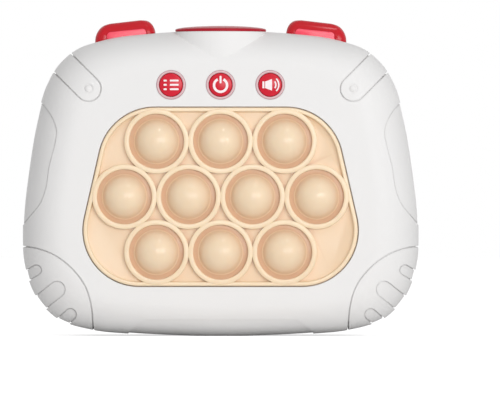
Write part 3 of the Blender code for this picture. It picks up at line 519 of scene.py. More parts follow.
for side in (-1, 1):
    x, z = strap_place * (side, 1)
    ring = turned(f"stud_ring_{side}", (
        (groove_inner, -outside), (groove_outer, -outside), (groove_outer, 0), (groove_inner, 0),
    ), 48, (x, 0, z), closed=True)
    combine(front, [combine(ring, [case_core(groove_depth)])])
    met = front.ray_cast((x, -outside, z), (0, 1, 0))[1].y
    combine(front, [turned(f"stud_{side}", np.vstack((
        np.stack((stud_radius * np.sin(stud_round), met + stud_sunk - stud_dome * np.cos(stud_round)), 1),
        ((stud_radius, met + stud_root),),
    )), 48, (x, 0, z))], "UNION")
tidy(front, 32, clean_gap)
place_piece(front, shell_white, "case", ["front_shell"], True)


# Rear half of the case. The same white ABS, cut by the same recesses. Its lip reaches into the front
# half, and it holds the battery compartment, the screw wells, the speaker's collar and its grille.
lip_thick, lip_root = sizes(0.8, 3.0)
lip_out, lip_in = wall + fit, wall + fit + lip_thick
door_low, door_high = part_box("battery_door")
door_reach, door_tab_length, door_tab_half = sizes(1.8, 5.2, 4.5)
door_top, door_bottom, door_half = door_high.z - door_reach, door_low.z + door_tab_length, door_high.x
door_thick, door_seat = sizes(1.6, 1.6)
door_inner_y = back_y - door_thick
hook_x, hook_half, hook_thick = sizes(15.0, 3.5, 1.0)
bay_half, bay_wall = door_half - door_seat, 1.5 * mm
bay_low, bay_top = door_bottom + door_seat, door_top - door_seat
bay_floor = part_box("battery_1")[0].y - fit
tail_deep, tail_half = sizes(1.1, 1.5)
rear_post_radius, door_boss_radius, boss_reach = sizes(4.1, 3.0, 5.0)
collar, collar_wall = sizes(11.8, 1.2)
well_floor, well_radius, well_edge_radius, well_edge_depth = sizes(9.0, 2.8, 3.0, 0.12)
screw_bore, door_screw_bore = sizes(1.5, 1.8)
door_screw = middles("door_screw")[0]
speaker_middle = middles("speaker")[0]
rear = solid("rear_case", np.concatenate((
    level_rings(case_outline, [
        (rear_low.y, lip_out), (seam_y + fit / 2, lip_out), *quarter(lip, 0, seam_y + fit / 2)[:, ::-1],
    ]),
    case_rings(0, 1),
)))
carve(rear, recesses)
root_y, boss_y = seam_y + lip_root, back_y - wall - boss_reach
rear_hollow = solid("rear_hollow", np.concatenate((
    level_rings(case_outline, ((-outside / 4, lip_in), (root_y, lip_in), (root_y, wall))),
    case_rings(wall, 1),
)))
combine(rear_hollow, rods("rear_post", rear_post_radius, rear_low.y + fit, outside, case_screws) + [
    block("compartment_walls", (-door_half - bay_wall, bay_floor - bay_wall, door_bottom - bay_wall),
          (door_half + bay_wall, outside, door_top + bay_wall)),
    rod("door_boss", door_boss_radius, boss_y, outside, 0, door_screw.z),
    turned("collar", (
        (collar + collar_wall, boss_y), (collar + collar_wall, outside), (collar, outside), (collar, boss_y),
    ), 72, (0, 0, speaker_middle.z), closed=True),
])
combine(rear, [rear_hollow])


def plate(grow, half, low, top, radius):
    """An upright rectangle with round corners, grown by a margin."""
    right, low, top = half + grow, low - grow, top + grow
    return rounded(((-right, low), (right, low), (right, top), (-right, top)), radius + grow)


def plate_outline(*measures):
    """The outline of a plate as a function of its margin alone."""
    return lambda grow: plate(grow, *measures)


opening_round, edge_cut, seat_y = 1.3 * mm, 0.2 * mm, door_inner_y - fit
door_opening = plate_outline(door_half + fit, door_bottom - fit, door_top + fit, opening_round)
tab_opening = plate_outline(door_tab_half + fit, door_low.z - fit, door_bottom + wall, opening_round)
combine(rear, [
    block("compartment", (-bay_half, bay_floor, bay_low),
          (bay_half, outside, bay_top)),
    flared_hole("door_opening", door_opening, edge_cut, back_y, seat_y),
    flared_hole("tab_opening", tab_opening, edge_cut, back_y, seat_y),
    rod("door_screw_hole", door_screw_bore, back_y - boss_reach, back_y, 0, door_screw.z),
])
pockets = [
    block(f"hook_slot_{side}",
          (side * hook_x - hook_half - fit, seat_y - fit - hook_thick - 2 * fit, bay_top - wall),
          (side * hook_x + hook_half + fit, seat_y, door_high.z + 2 * fit))
    for side in (-1, 1)
]
for side, cell in zip((1, -1), middles("battery_1", "battery_3")):
    left, right = sorted((side * (bay_half - tail_deep), side * bay_half))
    pockets.append(block(f"tail_slot_{side}", (left, bay_floor - 3 * wall, cell.z - tail_half),
                         (right, bay_floor + wall, cell.z + tail_half)))
combine(rear, pockets + rods("well", well_radius, well_floor, outside, case_screws)
        + rods("screw_hole", screw_bore, -outside, well_floor + wall, case_screws))
slots, slot_count, slot_pitch, slot_reach = [], 5, 3.0 * mm, 9.5 * mm
slot_half, slot_round = sizes(0.7, 0.69)
for i in range(slot_count):
    rise = (i - slot_count // 2) * slot_pitch
    half, z = math.sqrt(slot_reach ** 2 - rise ** 2), speaker_middle.z + rise
    slot = plate_outline(half, z - slot_half, z + slot_half, slot_round)
    slots.append(flared_hole(f"grille_{i}", slot, edge_cut, back_y, back_y - wall - fit))
well_edges = rods("well_edge", well_edge_radius, well_floor + wall, outside, case_screws)
well_edges = combine(joined("well_edges", well_edges), [case_core(well_edge_depth)])
carve(rear, slots + [well_edges] + key_slots())
tidy(rear, 32, clean_gap)
place_piece(rear, shell_white, "case", ["rear_shell"], True)


# Bubble pad. One sheet of peach silicone with a raised rim, ten raised rings that run together and
# ten round openings for the domes. It is clamped behind the window by its flange.
border_sunk, floor_sunk, pad_flange_thick = sizes(0.2, 1.7, 1.2)
ring_y, border_y, floor_y = pad_low.y, pad_low.y + border_sunk, pad_low.y + floor_sunk
ring_inner, ring_outer, border_wide, soft_edge = sizes(8.4, 9.95, 1.2, 0.3)
bubbles = middles(*(f"bubble_{i}" for i in range(1, 11)))
fillet = arc((-fit - border_wide - soft_edge, floor_y - soft_edge), soft_edge, 0, math.pi / 2, 4)
flange_y = pad_high.y - pad_flange_thick
pad = solid("bubble_sheet", level_rings(window_outline, [
    (pad_high.y, pad_flange), (flange_y, pad_flange), (flange_y, -fit),
    *quarter(soft_edge, -fit, border_y, -1)[::-1, ::-1],
    *quarter(soft_edge, -fit - border_wide, border_y)[:, ::-1], *fillet[:, ::-1],
]))
combine(pad, [turned(f"disc_{i}", [
    (ring_outer, floor_y + fit), *quarter(soft_edge, ring_outer, ring_y, -1)[::-1],
], 96, (place.x, 0, place.z)) for i, place in enumerate(bubbles)], "UNION")
combine(pad, [turned(f"bore_{i}", [
    (ring_inner + soft_edge, -outside), *quarter(soft_edge, ring_inner, ring_y), (ring_inner, 0),
], 96, (place.x, 0, place.z)) for i, place in enumerate(bubbles)])
tidy(pad, 32)


def silicone(name, colour, shade):
    """Silicone: a soft moulded finish that lets some light through, with painted shade mixed into its colour
    by each point's painted_shade value.
    """
    made = moulded(name, colour, shade, 0.45, 0.00001, 25, 3500, 0.35)
    nodes = made.node_tree.nodes
    shader = nodes["Principled BSDF"]
    painted_shade, deep = nodes.new("ShaderNodeAttribute"), nodes.new("ShaderNodeMix")
    painted_shade.attribute_name = "painted_shade"
    deep.data_type = "RGBA"
    plain = shader.inputs["Base Color"].links[0].from_socket
    # Painted shade: a darker peach mixed in where the painted_shade value is high.
    set_inputs(deep, A=plain, B=(*tone(220, 180, 147), 1), Factor=painted_shade.outputs["Fac"])
    set_inputs(
        shader, Base_Color=deep.outputs["Result"], Coat_Weight=0.3, Coat_Roughness=0.12,
        Subsurface_Weight=0.2, Subsurface_Radius=(1.0, 0.75, 0.5), Subsurface_Scale=1.0 * mm,
    )
    return made


def paint_shade(piece, depth):
    """A painted-shade value from 0 to 1 at each point, from a given formula, kept as a point attribute for
    the silicone.
    """
    points = np.empty(len(piece.data.vertices) * 3)
    piece.data.vertices.foreach_get("co", points)
    points = points.reshape(-1, 3)
    mark = piece.data.attributes.new("painted_shade", "FLOAT", "POINT")
    mark.data.foreach_set("value", np.clip(depth(points), 0, 1))


peach = silicone("silicone", tone(246, 224, 192), tone(241, 216, 182))


def pad_painted_shade(points):
    """Painted shade: darker down the bores, a little on the whole floor, and more where two rings come
    close.
    """
    away = np.sort(np.hypot(
        points[:, :1] - [place.x for place in bubbles], points[:, 2:] - [place.z for place in bubbles],
    ), axis=1)
    close, corner_reach, corner_run, corner_shade, floor_shade = 0.1 * mm, 12.6 * mm, 2.7 * mm, 0.8, 0.27
    on_floor = (points[:, 1] > floor_y - close / 2) & (away[:, 0] > ring_outer - close)
    close_ring_shade = np.maximum((corner_reach - away[:, 1]) / corner_run * corner_shade, floor_shade) * on_floor
    return np.maximum((points[:, 1] - floor_y - fit) / mm, close_ring_shade)


paint_shade(pad, pad_painted_shade)
place_piece(pad, peach, "case", ["bubble_pad"])


# Bubbles. Ten hollow domes of the same silicone, a little paler. Each hangs in its ring on a thin web.
dome_low, dome_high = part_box("bubble_5")
groove_y, dome_wall, web, crown_rise = floor_y, 0.9 * mm, 0.55 * mm, 2.3 * mm
dome_top, dome_radius = dome_low.y, (dome_high.x - dome_low.x) / 2
dome_rise = groove_y - dome_top
dome_sphere = (dome_radius ** 2 + dome_rise ** 2) / (2 * dome_rise)
dome_middle = dome_top + dome_sphere


def dome_arc(radius, start, end, steps):
    """Radius and depth along a sphere round the dome's own centre, between two angles from its tip."""
    turn = np.linspace(start, end, steps + 1)
    return np.stack((radius * np.sin(turn), dome_middle - radius * np.cos(turn)), 1)


pale_peach = silicone("dome_silicone", tone(246, 223, 192), tone(241, 215, 182))
dome_turn = math.asin(dome_radius / dome_sphere)
leave_share, bend_share, inside_share = 0.93, 0.95, 0.96
hinge_out, hinge_rise, web_start, web_lap, inside_lap = sizes(0.12, 0.16, 0.45, 0.25, 0.1)
bend = smooth_line(np.vstack((
    dome_arc(dome_sphere, dome_turn * leave_share, dome_turn * bend_share, 1),
    ((dome_radius + hinge_out, groove_y - hinge_rise), (dome_radius + web_start, groove_y)),
)), 5, False)
dome_profile = np.vstack((
    dome_arc(dome_sphere, 0, dome_turn * leave_share, 22)[:-1], bend,
    ((ring_inner + web_lap, groove_y), (ring_inner + web_lap, groove_y + web)),
    ((dome_radius - inside_lap, groove_y + web),),
    dome_arc(dome_sphere - dome_wall, dome_turn * inside_share, 0, 16),
))
# Painted shade on the domes: its strength down the side, where it starts and how far it runs.
slant_shade, slant_start, slant_run, edge_start, edge_run = 0.4, 3.4 * mm, 3.2 * mm, 0.1 * mm, 0.15 * mm
for i, place in enumerate(bubbles, 1):
    dome = turned(f"dome_{i}", dome_profile, 96, (place.x, 0, place.z), sharp=50)

    def dome_painted_shade(points, place=place):
        """Painted shade: darker down the dome's side and in the groove round its edge."""
        away = np.hypot(points[:, 0] - place.x, points[:, 2] - place.z)
        slant = slant_shade * np.clip((away - slant_start) / slant_run, 0, 1)
        return np.maximum(slant, (away - dome_radius - edge_start) / edge_run)

    paint_shade(dome, dome_painted_shade)
    place_piece(dome, pale_peach, None, [f"bubble_{i}"])
    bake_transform(dome)


# Control buttons. Three red caps of ABS with raised pale symbols: a list, a power mark and a speaker.
# Each is turned from one profile and stands on its switch, inside a pale ring.
cap_radius, cap_edge, cap_sag, cap_edge_share = 3.6 * mm, 0.4 * mm, 0.55 * mm, 0.8
cap_flange, cap_stem = sizes(1.0, 1.5)
cap_low, cap_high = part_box("power_button")
head_y, cap_flange_y = cap_low.y, bezel_high.y + fit
red = moulded("red_plastic", tone(218, 34, 56), tone(206, 28, 48), 0.26, 0.00001, 60, 6000, 0.25)
cap_profile = [
    (radius, head_y + cap_sag * (radius / cap_radius) ** 2)
    for radius in np.linspace(0, cap_radius - cap_edge, 9)[:-1]
] + [
    *quarter(cap_edge, cap_radius, head_y + cap_sag * cap_edge_share, -1, steps=8),
    (cap_radius, cap_flange_y), (cap_radius + cap_flange, cap_flange_y),
    (cap_radius + cap_flange, cap_flange_y + cap_flange), (cap_stem, cap_flange_y + cap_flange),
    (cap_stem, cap_high.y),
]


def hoop(centre, radius, half, start, end, steps=40):
    """A band of even width along an arc."""
    outer = arc(centre, radius + half, start, end, steps)
    return np.vstack((outer, arc(centre, radius - half, start, end, steps)[::-1]))


def symbol_outlines(kind):
    """The plane outlines of a button's symbol round the button's middle, in millimetres."""
    if kind == "menu":
        return [plate(0, half, z - 0.28, z + 0.28, 0.2) + (x, 0)
                for z in (1.3, 0, -1.35) for x, half in ((-1.79, 0.5), (0.99, 1.35))]
    if kind == "power":
        gap_turn = math.radians(26)
        return [hoop((0, -0.15), 2.0, 0.38, math.pi / 2 + gap_turn, 2.5 * math.pi - gap_turn),
                plate(0, 0.3, 0.45, 2.75, 0.2)]
    cone = ((-1.53, -1.0), (0.59, -1.77), (0.59, 1.77), (-1.53, 1.0))
    waves = ((1.75, 0.2 * math.pi), (2.65, 0.25 * math.pi))
    return [plate(0, 0.3, -1.06, 1.06, 0.15) + (-2.06, 0), rounded(cone, 0.15)] + [
        hoop((0, 0), radius, 0.22, -turn, turn, 20) for radius, turn in waves
    ]


symbol_white = moulded("symbol_white", tone(250, 238, 240), tone(244, 230, 233), 0.4)
mark_sunk, mark_reach = sizes(0.1, 0.9)
button_names = ("menu", "power", "sound")
for name, place in zip(button_names, button_middles):
    cap = turned(f"{name}_cap", cap_profile, 96, (place.x, 0, place.z))
    place_piece(cap, red, name, [f"{name}_button"])
    symbol = joined(f"{name}_symbol", [
        prism(f"{name}_mark_{i}", outline * mm + (place.x, place.z), head_y - mark_sunk, head_y + mark_reach)
        for i, outline in enumerate(symbol_outlines(name))
    ])
    tidy(symbol, 35)
    place_piece(symbol, symbol_white, name)


# Button rings. Three pale moulded rings, each turned from one profile with rounded edges. They stand a
# little proud of the face and are held by a flange behind it.
bezel_play, bezel_edge, bezel_flange_thick = sizes(0.1, 0.15, 1.0)
bezel_bore, bezel_flange_y = cap_radius + bezel_play, bezel_high.y - bezel_flange_thick
ring_profile = [
    *quarter(bezel_edge, bezel_bore, bezel_low.y)[::-1], *quarter(bezel_edge, bezel_radius, bezel_low.y, -1),
    (bezel_radius, bezel_flange_y), (bezel_radius + bezel_flange, bezel_flange_y),
    (bezel_radius + bezel_flange, bezel_high.y), (bezel_bore, bezel_high.y),
]
pale_ring = moulded("pale_ring", tone(216, 178, 182), tone(208, 170, 174), 0.3)
for name, place in zip(button_names, button_middles):
    ring = turned(f"{name}_ring", ring_profile, 96, (place.x, 0, place.z), closed=True)
    place_piece(ring, pale_ring, "case", [f"{name}_bezel"])


# Top badge. A red oval dome of moulded plastic on the turret: rings of the turret's plan, smaller by the
# cosine while they rise by the sine. It is pushed in by a peg.
badge_base, badge_edge, badge_peg = turret_top + fit, 0.3 * mm, 2.0 * mm
badge_foot, badge_side, badge_foot_share = 0.02 * mm, 0.17 * mm, 1 - 0.15 / 14
badge_turn = np.linspace(0, math.pi / 2, 16)
badge_levels = [(turret_top + badge_foot, badge_foot_share), (turret_top + badge_side, 1)] + list(zip(
    badge_base + badge_edge + (badge_high.z - badge_base - badge_edge) * np.sin(badge_turn),
    np.cos(badge_turn),
))
badge = solid("badge_dome", np.stack([
    np.insert(turret_middle + (turret_plan(0) - turret_middle) * share, 2, z, axis=1)
    for z, share in badge_levels
]))
combine(badge, [turned("badge_peg", (
    (badge_peg, badge_low.z), (badge_peg, badge_base + fit),
), 48, (0, turret_middle[1], 0), axis="z")], "UNION")
tidy(badge, 35)
# A darker red than the buttons': painted shade for the badge's top, which is seen edge-on.
badge_red_shaded = moulded("badge_red_shaded", tone(184, 34, 50), tone(170, 26, 42), 0.3, 0.00001, 60, 6000, 0.12)
place_piece(badge, badge_red_shaded, "case", ["top_badge"])


# Shoulder keys. Two red keys that rise through the case's top edge, lower towards the outside, with
# rounded edges and a paler flat panel let into the front.
key_bulge, key_bulge_high = np.array((3.3, 2.2)) * mm, 4.0 * mm
key_flange_thick, key_stem, key_stem_ahead = sizes(1.1, 1.5, 2.5)
key_sunk, key_slope, key_bend = 0.295 * mm, 0.116, 11.8
panel_depth, panel_edge, panel_play, panel_sunk = sizes(0.3, 0.2, 0.05, 0.1)
panel_outer, panel_inner, panel_reach, panel_drop, panel_round = sizes(-5.7, 6.6, 7.4, 2.4, 1.3)
key_red = moulded("key_red", tone(206, 25, 40), tone(192, 18, 32), 0.22, 0.00001, 60, 6000, 0.25)
key_pink = moulded("key_panel", tone(253, 84, 106), tone(246, 72, 96), 0.16, 0.00001, 60, 6000, 0.3)


def key_top_line(inwards):
    """The height of a key's top at a distance from its middle towards the middle of the case."""
    return key_high.z - key_sunk + key_slope * inwards - key_bend * inwards ** 2


for hand, side, place in zip(("left", "right"), (-1, 1), key_places):
    rings = [ringed(lambda margin: key_plan(place, margin), (
        (key_flange_top - key_flange_thick, key_flange), (key_flange_top, key_flange), (key_flange_top, 0),
    ))]
    plan_middle = np.array((place.x, place.y))
    for step in np.linspace(0, math.pi / 2, 13):
        drawn_in = key_bulge / key_half * (1 - math.cos(step))
        ring = plan_middle + (key_plan(place, 0) - plan_middle) * (1 - drawn_in)
        z = key_top_line(side * (place.x - ring[:, 0])) - key_bulge_high * (1 - math.sin(step))
        rings.append(np.column_stack((ring, z))[None])
    key = solid(f"key_{hand}", np.concatenate(rings))
    combine(key, [turned(f"key_stem_{hand}", (
        (key_stem, key_low.z), (key_stem, key_flange_top - fit),
    ), 32, (place.x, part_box("main_board")[1].y - key_stem_ahead, 0), axis="z")], "UNION")

    def panel(grow, side=side, place=place):
        """The outline of the key's panel, grown by a margin: its top follows the key's top."""
        outer, inner = panel_outer - grow, panel_inner + grow
        corners = [(outer, height - panel_reach), (inner, height - panel_reach)] + [
            (inwards, key_top_line(inwards) - panel_drop + grow) for inwards in (inner, outer)
        ]
        corners = [(place.x - side * inwards, z) for inwards, z in corners]
        return rounded(corners, panel_round + grow)[::-side]

    front_y = place.y - key_half[1]
    seat_back = front_y + panel_depth + panel_edge
    combine(key, [flared_hole(f"panel_seat_{hand}", panel, panel_edge, front_y, seat_back)])
    tidy(key, 35)
    place_piece(key, key_red, f"key_{hand}", [f"shoulder_key_{hand}"])
    inlay = solid(f"key_panel_{hand}", level_rings(panel, [
        (seat_back, -panel_play), *quarter(panel_edge, -panel_play, front_y + panel_sunk, -1)[::-1, ::-1],
    ]))
    place_piece(inlay, key_pink, f"key_{hand}")


# Battery door and its screw. A white ABS plate with two hooks at the top, a tab for the screw below
# and a shallow frame line; the steel screw has a cross recess.
door_round, tab_round, tab_lap, door_edge = sizes(1.2, 1.0, 2.0, 0.3)
frame_inset, frame_wide, frame_deep = sizes(2.0, 0.5, 0.25)
grip_half, grip_deep, grip_low, grip_high, grip_pitch = sizes(6.0, 0.35, 3.6, 4.3, 1.6)
screw_head, screw_head_deep, door_bore, hook_reach = sizes(1.9, 0.8, 1.3, 2.6)


def door_slab(name, *measures):
    """An upright slab as thick as the door, with round corners and a rounded outer edge."""
    levels = [(door_inner_y, 0), *quarter(door_edge, 0, back_y, -1, -1)[::-1, ::-1]]
    return solid(name, level_rings(plate_outline(*measures), levels))


door = door_slab("door_plate", door_half, door_bottom, door_top, door_round)
tab = door_slab("door_tab", door_tab_half, door_low.z, door_bottom + tab_lap, tab_round)
hook_y, hook_low = seat_y - fit - hook_thick, door_top - hook_reach
combine(door, [tab] + [
    block(f"{name}_{side}", (side * hook_x - hook_half, hook_y, hook_low),
          (side * hook_x + hook_half, far, top))
    for name, far, top in (
        ("hook", hook_y + hook_thick, door_high.z), ("hook_foot", door_inner_y + fit, door_top - fit),
    ) for side in (-1, 1)
], "UNION")
door_frame = plate_outline(
    door_half - frame_inset, door_bottom + frame_inset, door_top - frame_inset, door_round,
)
frame_line = solid("frame_line", level_rings(door_frame, [
    (back_y - frame_deep, 0), (back_y + wall, 0),
    (back_y + wall, -frame_wide), (back_y - frame_deep, -frame_wide),
]), closed=True)
combine(door, [
    frame_line,
    rod("door_bore", door_bore, 0, outside, 0, door_screw.z),
    rod("door_sink", screw_head + fit, back_y - screw_head_deep - fit, outside, 0, door_screw.z),
] + [
    block(f"door_grip_{i}",
          (-grip_half, back_y - grip_deep, door_bottom + grip_low + i * grip_pitch),
          (grip_half, outside, door_bottom + grip_high + i * grip_pitch))
    for i in range(3)
])
tidy(door, 32)
place_piece(door, shell_white, "door", ["battery_door"], True)

steel = moulded("screw_steel", tone(176, 178, 182), tone(150, 152, 157), 0.28, 0.00001, 200, 9000)
set_inputs(steel.node_tree.nodes["Principled BSDF"], Metallic=1)


def screw(name, node, head_radius, head_depth, radius, cross):
    """A screw with a cross recess, as long as a CAD screw: one turned profile with a helical thread.
    Along the shank the radius is radius - depth * |2 * fraction(y / pitch - turn) - 1|."""
    place, head_y, end_y = middles(node)[0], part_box(node)[1].y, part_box(node)[0].y
    x, z, way, steps = place.x, place.z, math.copysign(1, end_y - head_y), 48
    head_edge, neck, ring_gap, slot_deep, slot_share = 0.25 * mm, 0.5 * mm, 0.1 * mm, 0.7 * mm, 0.16
    neck_share, tip_share, tip_power, pitch, depth = 0.9, 0.35, 0.12, 0.9 * mm, 0.22 * radius
    head_end = head_y + way * head_depth
    head = np.array([
        *quarter(head_edge, head_radius, head_y, -1, way), (head_radius, head_end),
        (radius * neck_share, head_end),
    ])
    shaft = np.arange(head_y + way * (head_depth + neck), end_y, way * ring_gap)
    angle = np.arange(steps) * 2 * math.pi / steps
    tip = np.linspace(1, tip_share, len(shaft)) ** tip_power
    wave = np.abs(2 * np.mod(shaft[:, None] / pitch - angle / (2 * math.pi), 1) - 1)
    thread = radius * tip[:, None] - depth * wave
    radii = np.vstack((np.repeat(head[:, :1], steps, 1), thread))
    levels = np.concatenate((head[:, 1], shaft))[:, None] + np.zeros_like(radii)
    made = solid(name, np.stack((x + radii * np.cos(angle), levels, z + radii * np.sin(angle)), 2))
    near, far = sorted((head_y - way * wall, head_y + way * slot_deep))
    arm = slot_share * cross
    combine(made, [block(f"{name}_slot_{i}", low, high) for i, (low, high) in enumerate((
        ((x - cross, near, z - arm), (x + cross, far, z + arm)),
        ((x - arm, near, z - cross), (x + arm, far, z + cross)),
    ))])
    return tidy(made, 35)


door_shank, door_cross = sizes(1.0, 1.2)
fixing = screw("door_fixing", "door_screw", screw_head, screw_head_deep, door_shank, door_cross)
place_piece(fixing, steel, "door", ["door_screw"])


# Case screws. Four steel screws at the bottom of the wells, which hold the two halves together. Each has
# a cross recess and a thread, like the door's screw, with a larger head.
case_head, case_head_deep, case_shank, case_cross = sizes(2.5, 1.8, 1.2, 1.7)
for i in range(1, 5):
    fixing = screw(f"case_fixing_{i}", f"case_screw_{i}", case_head, case_head_deep, case_shank, case_cross)
    place_piece(fixing, steel, "case", [f"case_screw_{i}"])


# Speaker. A small round driver behind the grille: a pressed basket, a paper cone with a rolled edge
# and a dust cap, all turned from one profile, and a magnet at the back.
speaker_low, speaker_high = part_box("speaker")
front_y, rim_radius = speaker_high.y, (speaker_high.x - speaker_low.x) / 2
rim_thick, rim_inner, rim_slant = sizes(1.4, 10.2, 0.1)
roll_middle, roll_half, roll_sunk, roll_high = sizes(9.2, 0.9, 0.6, 0.5)
cone_foot, cone_deep, dust_radius, dust_sunk, dust_high = sizes(3.6, 2.6, 3.2, 2.4, 1.2)
basket_lap, magnet_radius, magnet_edge = sizes(0.1, 6.0, 0.3)
basket_steps = np.array(((9.0, 1.5), (8.6, 2.8), (6.0, 3.1))) * mm
surround = np.linspace(0, math.pi, 9)
cap_turn = np.linspace(0, math.pi / 2, 8)
speaker = turned("driver", np.vstack((
    [(rim_radius, front_y - rim_thick), (rim_radius, front_y)],
    [(rim_inner, front_y), (rim_inner - rim_slant, front_y - roll_sunk)],
    np.stack((roll_middle + roll_half * np.cos(surround),
              front_y - roll_sunk + roll_high * np.sin(surround)), 1),
    [(cone_foot, front_y - cone_deep)],
    np.stack((dust_radius * np.cos(cap_turn), front_y - dust_sunk + dust_high * np.sin(cap_turn)), 1),
)), 72, (0, 0, speaker_middle.z))
back = turned("magnet", [(rim_radius, front_y - rim_thick + basket_lap)] + [
    (radius, front_y - deep) for radius, deep in basket_steps
] + [
    (magnet_radius, speaker_low.y + magnet_edge), (magnet_radius - magnet_edge, speaker_low.y),
], 72, (0, 0, speaker_middle.z))
speaker_black = moulded("speaker_black", tone(44, 44, 47), tone(34, 34, 37), 0.5, 0.00003, 300, 4000)
place_piece(speaker, speaker_black, "case", ["speaker"])
place_piece(back, steel, "case")


# Batteries. Three AAA cells in series, each a can with a printed jacket, a bare shoulder, the plus
# nub and a turned-in minus end. The middle cell lies the other way round.
jacket = moulded("cell_can", tone(58, 66, 74), tone(48, 55, 63), 0.3, 0.00001, 80, 6000)
can_edge, jacket_thick, minus_turned, bare_can, jacket_start = sizes(0.4, 0.1, 0.9, 0.9, 1.0)
nub_radius, nub_edge, nub_high = sizes(1.9, 0.2, 1.2)
for i in range(1, 4):
    low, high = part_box(f"battery_{i}")
    way = 1 if i == 2 else -1
    minus_x, plus_x = (low.x, high.x) if way > 0 else (high.x, low.x)
    middle, radius = (low + high) / 2, (high.z - low.z) / 2
    can, shoulder = radius - jacket_thick, plus_x - way * nub_high
    cell = turned(f"cell_{i}", [
        (radius - minus_turned, minus_x), *quarter(can_edge, can, minus_x, -1, way),
        (can, minus_x + way * bare_can), (radius, minus_x + way * jacket_start),
        (radius, shoulder - way * jacket_start), (can, shoulder - way * bare_can),
        *quarter(can_edge, can, shoulder, -1, -way)[::-1], (nub_radius, shoulder),
        *quarter(nub_edge, nub_radius, plus_x, -1, -way)[::-1],
    ], 72, (0, middle.y, middle.z), axis="x")
    place_piece(cell, jacket, "case", [f"battery_{i}"])


# Battery contacts. Nickel-plated steel strips on the end walls, with coiled springs for the minus ends,
# pressed bumps for the plus ends and solder tails through the compartment's floor.
nickel = moulded("contact_nickel", tone(200, 200, 196), tone(178, 178, 172), 0.24, 0.00001, 200, 9000)
set_inputs(nickel.node_tree.nodes["Principled BSDF"], Metallic=1)


def spring(name, place, axis_start, axis_end, base, tip, wire, coils=4, steps=36, sides=10):
    """A conical coil of round wire along x: the centre line is a helix whose radius shrinks from base
    to tip, x = start + run * s, angle = 2 pi * coils * s, swept by a circle of the wire's radius."""
    share = np.linspace(0, 1, coils * steps + 1)
    angle = 2 * math.pi * coils * share
    radius = base + (tip - base) * share
    across = np.stack((np.zeros_like(angle), np.cos(angle), np.sin(angle)), 1)
    way = math.copysign(1, axis_end - axis_start)
    run = axis_start + way * wire + (axis_end - axis_start - 2 * way * wire) * share
    centre = np.stack((run, place.y + radius * across[:, 1], place.z + radius * across[:, 2]), 1)
    round_wire = np.arange(sides) * 2 * math.pi / sides
    along_x = np.array((1, 0, 0))
    ring = across[:, None] * np.cos(round_wire)[None, :, None] + along_x * np.sin(round_wire)[None, :, None]
    return solid(name, centre[:, None] + ring * wire)


cells = middles("battery_1", "battery_2", "battery_3")
strip_thick, strip_half, strip_round, bump_radius, bump_high = sizes(0.5, 4, 0.8, 2.5, 0.5)
tail_top, strip_tail_half, coil_base, coil_tip, coil_wire = sizes(3.7, 1.2, 3.2, 2.1, 0.3)
bump_turn = np.linspace(0, math.pi / 2, 7)
for name, side, held, sprung, tailed in (
    ("contact_single_right", 1, (0,), 0, 0), ("contact_bridge_right", 1, (1, 2), 2, None),
    ("contact_bridge_left", -1, (0, 1), 1, None), ("contact_single_left", -1, (2,), None, 2),
):
    low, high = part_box(name)
    outer, far = (high.x, low.x) if side > 0 else (low.x, high.x)
    inner = outer - side * strip_thick
    tops = [cells[i].z for i in held]
    y = cells[0].y
    left, right, bottom, top = y - strip_half, y + strip_half, min(tops) - strip_half, max(tops) + strip_half
    outline = rounded(((left, bottom), (right, bottom), (right, top), (left, top)), strip_round)
    strip = solid(name + "_strip", np.stack([np.insert(outline, 0, x, axis=1) for x in (outer, inner)]))
    bump_end = inner - side * bump_high if "bridge" in name else far
    extras = [turned(f"{name}_bump_{i}", np.vstack((
        [(bump_radius, (inner + outer) / 2)],
        np.stack((bump_radius * np.cos(bump_turn), inner + (bump_end - inner) * np.sin(bump_turn)), 1),
    )), 40, (0, y, cells[i].z), axis="x") for i in held if i != sprung]
    if tailed is not None:
        middle = cells[tailed].z
        extras.append(block(f"{name}_tail", (min(outer, inner), low.y, middle - strip_tail_half),
                            (max(outer, inner), y - tail_top, middle + strip_tail_half)))
    combine(strip, extras, "UNION")
    tidy(strip, 35)
    place_piece(strip, nickel, "case", [name])
    if sprung is not None:
        coil = spring(f"{name}_spring", cells[sprung], inner, far, coil_base, coil_tip, coil_wire)
        place_piece(coil, nickel, "case")


# The CAD nodes that stay as they are: plungers, retainer, board, its screws and the leads. Each gets
# its own procedural finish in place of the plain one.
clear = moulded("clear_plastic", tone(226, 232, 234), tone(214, 222, 226), 0.2, 0.00001, 60, 6000)
set_inputs(clear.node_tree.nodes["Principled BSDF"], Transmission_Weight=0.6)
grey = moulded("grey_plastic", tone(150, 152, 156), tone(138, 140, 145), 0.5)
board_green = moulded("board_green", tone(28, 92, 56), tone(20, 74, 44), 0.4, 0.00004, 220, 2500)
red_wire = moulded("red_wire", tone(190, 30, 34), tone(170, 24, 28), 0.4)
black_wire = moulded("black_wire", tone(34, 34, 36), tone(26, 26, 28), 0.4)
for material, nodes in (
    (clear, [f"plunger_{i}" for i in range(1, 11)]), (grey, ["pad_retainer"]), (board_green, ["main_board"]),
    (steel, [f"board_screw_{i}" for i in range(1, 5)]), (red_wire, ["battery_lead_red", "speaker_lead_red"]),
    (black_wire, ["battery_lead_black", "speaker_lead_black"]),
):
    for node in nodes:
        for material_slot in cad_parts[node].material_slots:
            material_slot.material = material


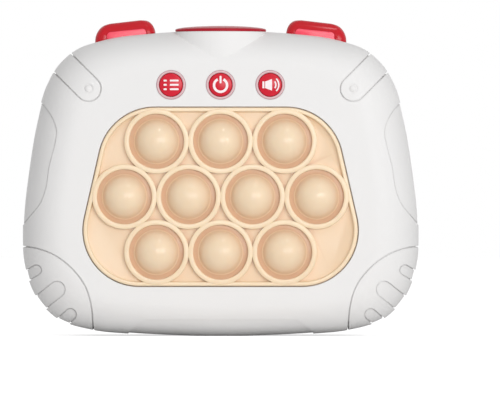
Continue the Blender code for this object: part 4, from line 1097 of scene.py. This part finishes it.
# Studio. A white floor that keeps the shadow, white light from all round, a wide, low lamp in front on
# the right and a small lamp above it for the highlights. The camera looks straight ahead.
floor_half = 4
floor_mesh = bpy.data.meshes.new("floor")
floor_mesh.from_pydata([
    (x * floor_half, y * floor_half, 0) for x, y in ((-1, -1), (1, -1), (1, 1), (-1, 1))
], [], ((0, 1, 2, 3),))
floor = bpy.data.objects.new("floor", floor_mesh)
bpy.context.scene.collection.objects.link(floor)
floor_white = bpy.data.materials.new("floor_white")
floor_white.use_nodes = True
nodes = floor_white.node_tree.nodes
path, glow = nodes.new("ShaderNodeLightPath"), nodes.new("ShaderNodeMath")
glow.operation = "MULTIPLY"
glow.inputs[1].default_value = 0.6
glow.id_data.links.new(path.outputs["Is Camera Ray"], glow.inputs[0])
set_inputs(
    nodes["Principled BSDF"], Base_Color=(0.92, 0.92, 0.92, 1), Roughness=0.9, Specular_IOR_Level=0.1,
    Emission_Color=(1, 1, 1, 1), Emission_Strength=glow.outputs["Value"],
)
floor_mesh.materials.append(floor_white)

world = bpy.data.worlds.new("studio")
world.use_nodes = True
bpy.context.scene.world = world
nodes, links = world.node_tree.nodes, world.node_tree.links
path, seen, seen_too, strength = (
    nodes.new(f"ShaderNode{kind}") for kind in ("LightPath", "Math", "Math", "MapRange")
)
seen.operation = seen_too.operation = "MAXIMUM"
links.new(path.outputs["Is Camera Ray"], seen.inputs[0])
links.new(path.outputs["Is Glossy Ray"], seen.inputs[1])
links.new(seen.outputs["Value"], seen_too.inputs[0])
links.new(path.outputs["Is Transmission Ray"], seen_too.inputs[1])
set_inputs(strength, To_Min=0.5, To_Max=1.0, Value=seen_too.outputs["Value"])
set_inputs(nodes["Background"], Color=(1, 1, 1, 1), Strength=strength.outputs["Result"])

bpy.context.scene.view_settings.view_transform = "Standard"
target = Vector((0, 0, height / 2))
for name, place, wide, high, power in (
    ("key", (0.48, -1.42, 0.22), 1.2, 0.42, 10.2), ("spark", (0.32, -0.85, 1.36), 0.08, 0.08, 1.9),
):
    data = bpy.data.lights.new(name, "AREA")
    data.shape, data.size, data.size_y, data.energy = "RECTANGLE", wide, high, power
    lamp = bpy.data.objects.new(name, data)
    lamp.location = place
    lamp.rotation_euler = (target - Vector(place)).to_track_quat("-Z", "Y").to_euler()
    bpy.context.scene.collection.objects.link(lamp)

camera_data = bpy.data.cameras.new("camera")
camera = bpy.data.objects.new("camera", camera_data)
camera_distance, picture_width, sensor_width, camera_reach = 3.0, 0.154, 36, 20
camera_right, camera_ahead, camera_rise = sizes(9.03, 12, 41.4)
camera.location = (camera_right, -camera_ahead - camera_distance, camera_rise)
camera.rotation_euler = (math.pi / 2, 0, 0)
camera_data.sensor_width = sensor_width
camera_data.lens = sensor_width * camera_distance / picture_width
camera_data.clip_end = camera_reach
bpy.context.scene.collection.objects.link(camera)
bpy.context.scene.camera = camera
